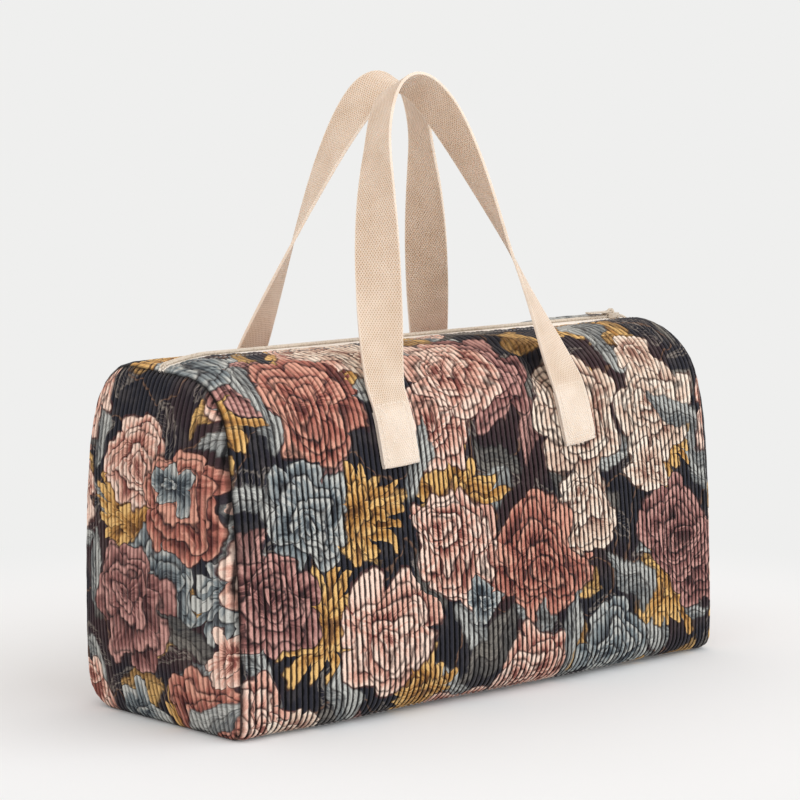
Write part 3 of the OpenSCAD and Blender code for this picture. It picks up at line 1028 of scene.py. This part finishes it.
@dataclass
class Panels:
    """The five cloth panels of the body."""

    shapes: dict[Side, BodyShape]
    wales: Wales = field(default_factory=Wales)
    thickness: float = 0.003
    inner_thickness: float = 0.0024
    row_counts: tuple[int, ...] = (4, 16, 18, 12)
    waves: Ripple = Ripple(0.0011, 1.0, (0.21, 0.16, 0.12, 0.094))
    puckers: Ripple = Ripple(0.0007, 2.0, (0.030, 0.047, 0.019))
    pucker_stretch: float = 0.25
    pucker_reach: float = 0.022
    gathers: Ripple = Ripple(0.0007, 4.0, (0.013, 0.019, 0.0085))
    gather_stretch: float = 0.2
    gather_reach: float = 0.010
    soft_from: float = 0.03
    seam_roll: float = 0.0052
    seam_width: float = 0.0075
    seam_inset: float = 0.0035
    top_inset: float = 0.0022
    crease: float = 0.9
    side_crease: float = 0.0030
    end_crease: float = 0.0040
    rib_fade: float = 0.002
    hem_ribs: float = 0.30
    full_ribs: float = 0.06
    hem: float = 0.012
    # Shares of painted shade in the wale valleys near the hem and on the shoulder, and the distance below
    # the hem where that shade is full.
    hem_relief: float = 0.12
    shoulder_relief: float = 0.38
    full_relief: float = 0.15
    end_waves: Ripple = Ripple(0.0013, 5.0, (0.17, 0.12, 0.085))
    end_gathers: Ripple = Ripple(0.0006, 7.0, (0.015, 0.021))
    # Share of painted shade in the end panels' wale valleys.
    end_relief: float = 0.55
    end_rim: float = 0.002
    end_clear: float = 0.0004
    end_dome: float = 0.016
    end_power: float = 4.0
    end_rows: int = 44
    base_clear: float = 0.0011
    base_inset: float = 0.005
    base_lift: float = 0.0006
    base_ribs: float = 0.4
    base_rows: int = 40
    ground: float = 0.0002
    cloth_shift: float = 0.6
    stitch: tuple[float, float, float] = (0.0031, 0.0007, 0.0007)
    stitch_lift: float = 0.0001
    stitch_inset: float = 0.007
    stitch_end: float = 0.006
    hem_stitch_depth: float = 0.0066
    base_stitch_place: float = 3.70

    def columns(self) -> tuple[Array, Array]:
        """Returns the columns of the long panels and the height of their ribs."""
        return self.wales.columns(round(2 * self.shapes[Side.FRONT].half_length / self.wales.pitch))

    def rows(self) -> Array:
        """Returns the places of a side panel's rows along the outline, base seam first."""
        parts = [np.linspace(k, k + 1, n, endpoint=False) for k, n in enumerate(self.row_counts)]
        return np.concatenate([*parts, [len(parts)]])[::-1]

    def swell(self, x: Array, v: Array, side: Side) -> Array:
        """Returns how far the soft side stands out of its smooth surface, v below the hem."""
        soft = self.waves.at(x, v, side.value)
        pucker = self.puckers.at(x, v * self.pucker_stretch, side.value)
        soft = soft + pucker * np.exp(-v / self.pucker_reach)
        if side is Side.FRONT:
            soft = soft + sum(mound.at(x, v) for mound in HOLLOW)
        return soft

    @staticmethod
    def rounded(share: Array) -> Array:
        """Returns how far a rolled edge has turned in: 1 at the edge and 0 a whole roll away."""
        return 1 - np.sqrt(np.clip(1 - (1 - np.clip(share, 0, 1)) ** 2, 0, 1))

    def creased(self, relief: Array, edge: Array, width: float) -> Array:
        """Returns the share of painted shade for cloth that dips into a crease of some width at its edge,
        raised above 1 to paint the crease dark.
        """
        share = self.crease * smooth(1 - edge / width)
        return mix(relief, 1 + share, np.minimum(1, 2 * share))

    def side(self, side: Side) -> Piece:
        """Makes the front or the back panel with its wales, seam rolls and soft swell."""
        body = self.shapes[side]
        across, rib = self.columns()
        x, t = np.broadcast_arrays(-side.value * (across - body.half_length)[:, None], self.rows()[None, :])
        y, z = body.outline(x, t)
        ny, nz = body.normal(x, t)
        step = np.hypot(np.diff(y, axis=1), np.diff(z, axis=1))
        below = np.concatenate([np.cumsum(step[:, ::-1], axis=1)[:, ::-1], np.zeros((len(x), 1))], axis=1)
        edge = body.half_length - np.abs(x)
        gather = self.gathers.at(below, x * self.gather_stretch, side.value)
        gather = gather * np.exp(-edge / self.gather_reach)
        ribbed = rib[:, None] * smooth(edge / self.rib_fade)
        ribbed = ribbed * mix(self.hem_ribs, 1.0, smooth(below / self.full_ribs))
        out = ribbed - body.roll(x) + gather + self.swell(x, below, side) * smooth(edge / self.soft_from)
        y, z = y + ny * out, np.maximum(z + nz * out, self.ground)
        points = np.stack([x, side.value * y, z], axis=-1)
        drawn = self.cloth_shift * (2 + side.value) - below
        cloth = np.stack(np.broadcast_arrays(across[:, None], drawn), axis=-1)
        # Painted shade: the wale valleys are darkened less near the hem and on the shoulder, and the crease
        # at the end seams is painted dark.
        relief = mix(self.shoulder_relief, 1.0, smooth(below / self.full_relief))
        relief = mix(self.hem_relief, relief, smooth(below / self.hem))
        relief = self.creased(relief, edge, self.side_crease)
        made = sheet(f"{side.name.lower()}_panel_cloth", points, cloth, relief)
        thicken(made, self.thickness, -1.0)
        return made

    def rim(self, side: Side, end: End) -> tuple[Array, Array]:
        """Returns the edge of an end on one side, from the zip round to the middle of the base."""
        shape = self.shapes[side]
        t = np.linspace(0.0, 4.0, 1600)
        y, z = shape.outline(np.full_like(t, end.value * shape.half_length), t)
        inner = np.linspace(shape.base_seam, 0.0, 60)
        flat = shape.under(np.full_like(inner, shape.half_length), inner)
        return np.r_[0.0, y, inner], np.r_[z[0], z, flat]

    def end(self, end: End) -> Piece:
        """Makes an end panel: an arched, ribbed, domed sheet with a rolled edge."""
        rims = {side: self.rim(side, end) for side in Side}
        half = min(float(np.max(rim_y)) for rim_y, _ in rims.values()) - self.end_clear
        across, rib = self.wales.columns(round(2 * half / self.wales.pitch))
        y = across - across[-1] / 2
        y = y * (half / y[-1])
        s = (1 - np.cos(np.linspace(0, math.pi, self.end_rows + 1))) / 2
        columns, gaps = [], []
        for place in y:
            rim_y, rim_z = rims[Side.FRONT if end.value * place < 0 else Side.BACK]
            widest = int(np.argmax(rim_y))
            high = np.interp(abs(place), rim_y[: widest + 1], rim_z[: widest + 1])
            low = np.interp(abs(place), rim_y[widest:][::-1], rim_z[widest:][::-1])
            column = mix(low, high, s)
            columns.append(column)
            gaps.append(np.min(np.hypot(abs(place) - rim_y[:, None], column - rim_z[:, None]), axis=0))
        z, gap = np.stack(columns), np.stack(gaps)
        y = y[:, None] + np.zeros_like(z)
        dome = (1 - (np.abs(y) / half) ** self.end_power) * (1 - np.abs(2 * s - 1) ** self.end_power)
        out = self.shapes[Side.FRONT].half_length + self.end_rim + self.end_dome * dome
        out = out + rib[:, None] * smooth(gap / self.rib_fade)
        out = out - self.seam_roll * self.rounded(gap / self.seam_width)
        out = out + self.end_waves.at(y, z, end.value) * smooth(gap / self.soft_from)
        out = out + self.end_gathers.at(y, z, end.value) * np.exp(-gap / self.gather_reach)
        inset_y = y * (1 - self.seam_inset / half)
        inset_z = np.maximum(z * (1 - self.top_inset / np.max(z)), self.ground)
        points = np.stack([end.value * out, end.value * inset_y, inset_z], axis=-1)
        drawn = z + self.cloth_shift * (6 + end.value)
        cloth = np.stack(np.broadcast_arrays(across[:, None], drawn), axis=-1)
        # Painted shade: the end's wale valleys are darkened less than the sides', and the crease at its rim
        # is painted dark.
        relief = self.creased(np.full_like(z, self.end_relief), gap, self.end_crease)
        made = sheet(f"{end.name.lower()}_end_cloth", points, cloth, relief)
        thicken(made, self.inner_thickness, -1.0)
        return made

    def base(self) -> Piece:
        """Makes the base panel between the two base seams."""
        front, back = self.shapes[Side.FRONT], self.shapes[Side.BACK]
        across, rib = self.columns()
        half = front.base_seam - self.base_clear
        along = (across - front.half_length) * (1 - self.base_inset / front.half_length)
        x, y = np.broadcast_arrays(along[:, None], np.linspace(half, -half, self.base_rows + 1)[None, :])
        under = np.where(y < 0, front.under(x, y), back.under(x, y))
        z = self.base_lift + under - rib[:, None] * self.base_ribs
        drawn = self.cloth_shift * 9 - y
        cloth = np.stack(np.broadcast_arrays(across[:, None], drawn), axis=-1)
        made = sheet("base_cloth", np.stack([x, y, z], axis=-1), cloth, np.ones_like(z))
        thicken(made, self.inner_thickness, -1.0)
        return made

    def stitches(self, side: Side, name: str, pitch: float, spot: Callable[[Array], Array]) -> Piece:
        """Makes a row of top stitches along a side panel.

        Args:
            side: which panel.
            name: name of the row.
            pitch: distance from one stitch to the next.
            spot: gives the place of the row along the outline for places along the bag.

        Returns:
            One object that holds every stitch.
        """
        body = self.shapes[side]
        x = np.arange(self.stitch_inset - body.half_length, body.half_length - self.stitch_end, pitch)
        t = spot(x)
        y, z = body.outline(x, t)
        ny, nz = body.normal(x, t)
        lift = self.swell(x, self.below_hem(x, t), side) + self.stitch_lift
        centres = np.stack([x, side.value * (y + ny * lift), z + nz * lift], axis=-1)
        normals = np.stack([np.zeros_like(x), side.value * ny, nz], axis=-1)
        return StitchRow(name, *self.stitch).build(centres, np.gradient(centres, axis=0), normals)

    def below_hem(self, x: Array, t: Array) -> Array:
        """Returns the distance along the cloth from the hem to places on the outline."""
        steps = np.linspace(0, 1, 80)[None, :] * t[:, None]
        y, z = self.shapes[Side.FRONT].outline(x[:, None] + np.zeros_like(steps), steps)
        return np.sum(np.hypot(np.diff(y, axis=1), np.diff(z, axis=1)), axis=1)

    def under_hem(self, x: Array) -> Array:
        """Returns where the hem's top stitches run along the outline."""
        deep = self.hem_stitch_depth
        return deep / np.maximum(self.below_hem(x, np.ones_like(x)), deep)

    def over_base(self, x: Array) -> Array:
        """Returns where the base seam's stitches run along the outline."""
        return np.full_like(x, self.base_stitch_place)

    def build(self, finishes: Finishes) -> None:
        """Makes and dresses all panels and their stitches."""
        def panel(piece: Piece, node: str) -> None:
            """Dresses a panel."""
            dress(piece, "bag", "printed_corduroy", finishes.corduroy, node)

        for side in Side:
            name = side.name.lower()
            panel(self.side(side), f"{name}_panel")
            for row, pitch, spot in (("hem", 0.0042, self.under_hem), ("base", 0.0056, self.over_base)):
                thread = self.stitches(side, f"{name}_{row}_stitches", pitch, spot)
                dress(thread, "bag", "printed_corduroy", finishes.hem_thread)
        for end in End:
            panel(self.end(end), f"{end.name.lower()}_end_panel")
        panel(self.base(), "base_panel")


# Zip


@dataclass
class Zip:
    """The two zip tapes with their coils, and the slider and pull from the frame."""

    shape: BodyShape
    coil_gap: float = 0.0006
    coil_width: float = 0.0026
    coil_height: float = 0.0024
    tape_flat: float = 0.0034
    tape_thickness: float = 0.0008
    tape_under: float = 0.008
    hem_depth: float = 0.0061
    tape_dip: float = 0.0018
    turn: float = 0.0016

    def tape(self, side: Side) -> Piece:
        """Makes one zip tape, tented from the coil down under the hem."""
        body = self.shape
        x = -side.value * np.linspace(-body.half_length, body.half_length, 201)[:, None]
        share = np.array([0.0, 0.0, 0.0, 0.33, 0.66, 1.0, 1.0])[None, :]
        start = np.array([self.coil_gap, 0.0020, *[self.tape_flat] * 5])[None, :]
        under = np.array([0.0] * 6 + [1.0])[None, :]
        y = mix(start, body.zip_half(x), share) + under * self.tape_under
        fall = mix(self.coil_height, self.hem_depth, share) + under * self.tape_dip + self.tape_thickness / 2
        z = body.height - body.drop(x) - body.roll(x) - fall
        points = np.stack(np.broadcast_arrays(x, side.value * y, z), axis=-1)
        cloth = np.stack(np.broadcast_arrays(x, y[:, :1] - y), axis=-1)[:, ::-1]
        made = sheet(f"zip_tape_{side.name.lower()}_cloth", points[:, ::-1], cloth, np.ones(cloth.shape[:2]))
        thicken(made, self.tape_thickness, 0.0)
        return made

    def coil(self, side: Side) -> Piece:
        """Makes the row of nylon turns along one tape."""
        body = self.shape
        first = -body.half_length + self.turn * (1.0 if side is Side.FRONT else 1.5)
        x = np.arange(first, body.half_length - self.turn, self.turn)
        centre = self.coil_gap + self.coil_width / 2
        z = body.height - body.drop(x) - body.roll(x) - self.coil_height / 2
        centres = np.stack([x, np.full_like(x, side.value * centre), z], axis=-1)
        ways = np.tile((0.0, 1.0, 0.0), (len(x), 1))
        normals = np.tile((0.0, 0.0, 1.0), (len(x), 1))
        return StitchRow(
            f"zip_coil_{side.name.lower()}_turns", self.coil_width, self.turn * 0.98, self.coil_height
        ).build(centres, ways, normals)

    def build(self, finishes: Finishes) -> None:
        """Makes and dresses the zip, and gives the slider and pull their finish."""
        for side in Side:
            name = side.name.lower()
            dress(self.tape(side), "bag", "zip_tape", finishes.tape, f"zip_tape_{name}")
            dress(self.coil(side), "bag", "zip_coil", finishes.coil, f"zip_coil_{name}")
        for node in ("zip_slider", "zip_pull"):
            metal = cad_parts[node]
            metal.data.materials.clear()
            metal.data.materials.append(finishes.lacquer)
            LOG.info("finished %s", node)


# Handles


@dataclass(frozen=True)
class Leg:
    """How one leg of a handle runs, in millimetres."""

    end: End
    foot_shift: float
    lean: float
    rise: float
    reach: float
    quarter: float
    early: float = 0.0


@dataclass
class Handle:
    """One webbing handle, folded under and sewn to its panel at both feet."""

    shape: BodyShape
    side: Side
    legs: tuple[Leg, Leg]
    top_x: float
    width: float = 0.035
    thickness: float = 0.0022
    top: float = 0.468
    foot_z: float = 0.188
    foot_x: float = 0.095
    shift: float = -0.003
    apart: float = 0.037
    clear: float = 0.0008
    fold_gap: float = 1.08
    full_turn: float = math.radians(99)
    lift_off: float = 5 / 3
    foot_steps: int = 16
    fold_steps: int = 8
    firm_steps: int = 12
    easings: int = 6
    arch_steps: int = 44
    across: tuple[float, ...] = (-0.5, -0.465, -0.33, -0.11, 0.11, 0.33, 0.465, 0.5)
    corner: float = 0.0018
    corner_length: float = 0.0028
    edge_clear: float = 0.0006
    pillow: float = 0.0006
    tuck: float = 0.042
    sewn_length: float = 0.040
    sewn_fade: float = 0.012
    sewn_smooth: float = 0.75
    selvedge: float = 0.03
    box_length: float = 0.041
    box_inset: float = 0.0042
    box_base: float = 0.0045
    box_points: int = 24
    stitch: tuple[float, float, float] = (0.0029, 0.0007, 0.0006)
    stitch_pitch: float = 0.0036
    stitch_sink: float = 0.0001

    def foot(self, leg: Leg) -> tuple[Array, Array]:
        """Gives the sewn end of a leg, from its tucked end round the fold to where it lifts off.

        Args:
            leg: the leg.

        Returns:
            Points along the middle of the webbing and its outward directions.
        """
        body, sign = self.shape, self.side.value
        x = leg.end.value * self.foot_x + self.shift
        low = body.at_height(x, self.foot_z)
        t = np.linspace(low, self.lift_off, self.foot_steps)
        xs = np.full_like(t, x)
        y, z = body.outline(xs, t)
        ny, nz = body.normal(xs, t)
        share = (z - z[0]) / (z[-1] - z[0])
        inner = (self.clear + self.thickness) / 2
        outer = inner + self.thickness * self.fold_gap
        inwards, outwards = body.belly(abs(x) + np.array([-MM, MM]))
        slope = leg.end.value * (inwards - outwards) * (body.depth - body.end_depth) / 4 / MM

        def layer(offset: float) -> Array:
            """Returns the foot's points at an offset from the panel."""
            slid = xs + leg.foot_shift * MM * share
            return np.stack([slid, sign * (y + ny * offset), z + nz * offset], axis=-1)

        normal = unit(np.stack([np.full_like(t, slope), sign * ny, nz], axis=-1))
        below, above = layer(inner), layer(outer)
        kept = run_along(below) < self.tuck
        down = unit(above[0] - above[1])
        middle = (below[0] + above[0]) / 2
        radius = np.linalg.norm(above[0] - below[0]) / 2
        turn = np.linspace(0, math.pi, self.fold_steps + 2)[1:-1, None]
        fold = middle - radius * np.cos(turn) * normal[0] + radius * np.sin(turn) * down
        fold_out = unit(fold - middle)
        points = np.concatenate([below[kept][::-1], fold, above])
        return points, np.concatenate([-normal[kept][::-1], fold_out, normal])

    def arch(self, leg: Leg, start: Array) -> Array:
        """Returns the points of a leg from where it lifts off to the top of the handle."""
        top = np.array([self.top_x, self.side.value * self.apart / 2, self.top])
        rise = leg.rise * (top - start)
        pulled = start + np.array([leg.lean * MM, rise[1], rise[2]])
        spread = top + np.array([leg.reach * MM, 0, 0])
        t = np.linspace(0, 1, self.arch_steps + 1)[1:, None]
        s = 1 - t
        return s**3 * start + 3 * t * s**2 * pulled + 3 * t * t * s * spread + t**3 * top

    def normals(self, points: Array, ways: Array, start: Array, top: Array, leg: Leg) -> Array:
        """Returns the outward directions along an arch, which turns on its way up."""
        up = unit(np.array([0.0, top[1] - start[1], top[2] - start[2]]))
        out = self.side.value * np.array([0.0, up[2], -up[1]])
        share = (points[:, 2] - start[2]) / (leg.quarter * MM - start[2])
        share = share + leg.early * 4 * share * np.clip(0.5 - share, 0, None)
        turn = np.minimum(self.full_turn, math.pi / 2 * np.clip(share, 0, None))[:, None]
        return np.cos(turn) * out - self.side.value * np.sin(turn) * np.cross(out, ways)

    def line(self) -> tuple[Array, Array]:
        """Gives the whole handle from one tucked end to the other.

        Returns:
            Points along the middle of the webbing and its outward directions.
        """
        (left_foot, left_out), (right_foot, right_out) = (self.foot(leg) for leg in self.legs)
        left, right = (self.arch(leg, foot[-1]) for leg, foot in zip(self.legs, (left_foot, right_foot)))
        points = np.concatenate([left_foot, left, right[::-1][1:], right_foot[::-1]])
        ways = unit(np.gradient(points, axis=0))
        half = len(left_foot) + len(left)
        spans = slice(len(left_foot), half), slice(half, len(points) - len(right_foot))
        arches = (
            self.normals(points[span], ways[span], left_foot[-1], left[-1], leg)
            for span, leg in zip(spans, self.legs)
        )
        normals = np.concatenate([left_out, *arches, right_out[::-1]])
        keep = self.fold_steps + self.firm_steps
        inner = slice(keep, len(points) - keep)
        for _ in range(self.easings):
            for values in (points, normals):
                eased = values.copy()
                eased[1:-1] = 0.25 * values[:-2] + 0.5 * values[1:-1] + 0.25 * values[2:]
                values[inner] = eased[inner]
        return points, normals

    def build(self, finishes: Finishes) -> None:
        """Makes and dresses the webbing and its box stitches."""
        name = f"{self.side.name.lower()}_handle"
        points, normals = self.line()
        ways = unit(np.gradient(points, axis=0))
        normals = unit(normals - np.sum(normals * ways, axis=1, keepdims=True) * ways)
        sides = np.cross(ways, normals)
        run = run_along(points)
        share = np.array(self.across)[:, None]
        third = len(points) // 3
        folds = np.argmin(points[:third, 2]), len(points) - third + np.argmin(points[-third:, 2])
        past = np.min([np.abs(run - run[fold]) for fold in folds], axis=0)
        narrow = self.corner * Panels.rounded(past / self.corner_length)
        across = share * (self.width - self.edge_clear - 2 * narrow)
        sewn = 1 - smooth((past - self.sewn_length) / self.sewn_fade)
        sink = self.pillow * sewn * (2 * np.abs(share)) ** 4
        spots = points + sides * across[..., None] - normals * sink[..., None]
        cloth = np.stack(np.broadcast_arrays(across, run), axis=-1)
        plain = smooth((0.5 - np.abs(share)) / self.selvedge)
        # Share of painted shade: none at the selvedges, and less on the flattened, sewn feet.
        webbing = sheet(f"{name}_webbing", spots, cloth, plain * (1 - self.sewn_smooth * sewn))
        thicken(webbing, self.thickness, 0.0)
        rounding = webbing.modifiers.new("Selvedge", "BEVEL")
        rounding.width = self.thickness * 0.32
        rounding.segments = 2
        rounding.limit_method = "ANGLE"
        rounding.angle_limit = math.radians(50)
        dress(webbing, "bag", "webbing", finishes.webbing, name)
        stitches = self.stitches(points, normals, ways, name)
        dress(stitches, "bag", "webbing", finishes.thread)

    def stitches(self, points: Array, normals: Array, ways: Array, name: str) -> Piece:
        """Makes the sewn box with its cross on both feet.

        Args:
            points: middle of the webbing.
            normals: its outward directions.
            ways: its directions.
            name: name of the handle.

        Returns:
            One object with the stitches of both feet.
        """
        half, base, top = self.width / 2 - self.box_inset, self.box_base, self.box_base + self.box_length
        corners = np.array([(-half, base), (half, base), (half, top), (-half, top)])
        lines = [(corners[a], corners[b]) for a, b in ((0, 1), (1, 2), (2, 3), (3, 0), (0, 2), (1, 3))]
        centres, directions, outs = [], [], []
        for step in (1, -1):
            p, n, w = points[::step], normals[::step], ways[::step] * step
            first = int(np.argmin(p[: len(p) // 3, 2])) + self.fold_steps // 2
            foot = slice(first, first + self.box_points)
            p, n, cross = p[foot], n[foot], np.cross(w[foot], n[foot])
            run = run_along(p)

            def spot(place: Array) -> tuple[Array, Array]:
                """Returns the point and the outward direction at a place across and along the foot."""
                at = [
                    np.array([np.interp(place[1], run, values[:, k]) for k in range(3)])
                    for values in (p, cross, n)
                ]
                out = unit(at[2])
                return at[0] + unit(at[1]) * place[0] + out * (self.thickness / 2 - self.stitch_sink), out

            for start, stop in lines:
                count = max(2, round(math.hypot(*(stop - start)) / self.stitch_pitch))
                for share in (np.arange(count) + 0.5) / count:
                    middle, out = spot(mix(start, stop, share))
                    ahead, _ = spot(mix(start, stop, share + 0.01))
                    centres.append(middle)
                    directions.append(ahead - middle)
                    outs.append(out)
        row = StitchRow(f"{name}_stitches", *self.stitch)
        return row.build(np.array(centres), np.array(directions), np.array(outs))


# Studio


@dataclass(frozen=True)
class Studio:
    """Floor, lamps and camera of the photograph."""

    eye: tuple[float, float, float] = (-1.6075, -1.7392, 0.5113)
    target: tuple[float, float, float] = (-0.02942, 0.0, 0.2188)
    lens: float = 137.0
    shift_x: float = 0.0195
    shift_y: float = 0.0042
    backdrop: Colour = srgb(239, 239, 238)
    fill: Colour = (0.95, 0.882, 0.825, 1.0)
    key: tuple[float, ...] = (0.90, 0.96, 1.0)
    key_strength: float = 1.28
    key_way: tuple[float, float, float] = (0.40, -0.79, 0.46)
    key_angle: float = math.radians(80)
    end_way: tuple[float, float, float] = (-0.85, -0.20, 0.40)
    end_strength: float = 0.28
    end_angle: float = math.radians(80)
    floor_glow: float = 0.08
    floor_colour: Colour = (0.84, 0.87, 0.90, 1.0)
    floor_fade: tuple[float, float] = (0.36, 0.70)
    floor_size: float = 4.0
    floor_drop: float = 0.0002

    def camera(self) -> None:
        """Makes the camera."""
        data = bpy.data.cameras.new("camera")
        data.lens = self.lens
        data.sensor_width = 36.0
        data.shift_x, data.shift_y = self.shift_x, self.shift_y
        data.clip_end = 50.0
        made = link("camera", data)
        made.location = self.eye
        way = Vector(self.target) - Vector(self.eye)
        made.rotation_euler = way.to_track_quat("-Z", "Y").to_euler()
        bpy.context.scene.camera = made

    def lamp(self, name: str, way: tuple[float, float, float], strength: float, angle: float) -> None:
        """Makes a broad distant lamp that shines from one way."""
        data = bpy.data.lights.new(name, "SUN")
        data.energy = strength
        data.color = self.key
        data.angle = angle
        link(name, data).rotation_euler = Vector(way).to_track_quat("Z", "Y").to_euler()

    def lamps(self) -> None:
        """Makes the lamps and the even fill of the room."""
        self.lamp("key", self.key_way, self.key_strength, self.key_angle)
        self.lamp("end_fill", self.end_way, self.end_strength, self.end_angle)
        world = bpy.data.worlds.new("room")
        world.use_nodes = True
        bpy.context.scene.world = world
        g = Graph(world.node_tree)
        shader = world.node_tree.nodes["Background"]
        path = g.node("LightPath")
        seen = g.math("MAXIMUM", path.outputs["Is Glossy Ray"], path.outputs["Is Transmission Ray"])
        seen = g.math("MAXIMUM", path.outputs["Is Camera Ray"], seen)
        g.feed(shader.inputs["Color"], g.colour(seen, self.fill, self.backdrop))
        settle(shader, Strength=1.0)

    def floor(self) -> None:
        """Makes the pale floor, which fades into the backdrop away from the bag."""
        shape = bmesh.new()
        bmesh.ops.create_grid(shape, x_segments=8, y_segments=8, size=self.floor_size)
        mesh, _ = to_mesh("floor", shape)
        made = link("floor", mesh)
        made.location = (0.0, 0.0, -self.floor_drop)
        material, g, shader = new_material("Studio floor")
        settle(shader, Base_Color=self.floor_colour, Roughness=1.0, Specular_IOR_Level=0.0)
        far = g.vector("LENGTH", g.node("TexCoord").outputs["Object"])
        glow = g.node("Emission")
        settle(glow, Color=self.backdrop)
        path = g.node("LightPath")
        seen = g.math("MAXIMUM", path.outputs["Is Camera Ray"], path.outputs["Is Glossy Ray"])
        away = g.scaled(g.ease(far, *self.floor_fade), 1 - self.floor_glow, self.floor_glow)
        blend = g.node("MixShader")
        for socket, value in zip(blend.inputs, (g.times(away, seen), shader.outputs[0], glow.outputs[0])):
            g.feed(socket, value)
        g.feed(material.node_tree.nodes["Material Output"].inputs["Surface"], blend.outputs[0])
        mesh.materials.append(material)


def main() -> None:
    """Builds the whole scene."""
    logging.basicConfig(level=logging.INFO, format="%(name)s: %(message)s")
    bpy.context.scene.view_settings.view_transform = "Standard"
    studio = Studio()
    studio.camera()
    studio.lamps()
    studio.floor()
    finishes = Finishes()
    shape = BodyShape()
    front_shape = BodyShape(end_base_radius=0.013)
    back_shape = BodyShape(left_shoulder_radius=0.046, shoulder_follow=0.30, end_base_radius=0.030)
    Panels({Side.FRONT: front_shape, Side.BACK: back_shape}).build(finishes)
    Zip(shape).build(finishes)
    front = (Leg(End.LEFT, -3, 25, 0.66, -38, 407), Leg(End.RIGHT, -6, -48, 0.62, 38, 425, 0.40))
    back = (Leg(End.LEFT, -8, 38, 0.64, -38, 440), Leg(End.RIGHT, 0, -46, 0.64, 45, 402))
    Handle(shape, Side.FRONT, front, -0.025).build(finishes)
    Handle(shape, Side.BACK, back, -0.007).build(finishes)


if __name__ == "__main__":
    main()
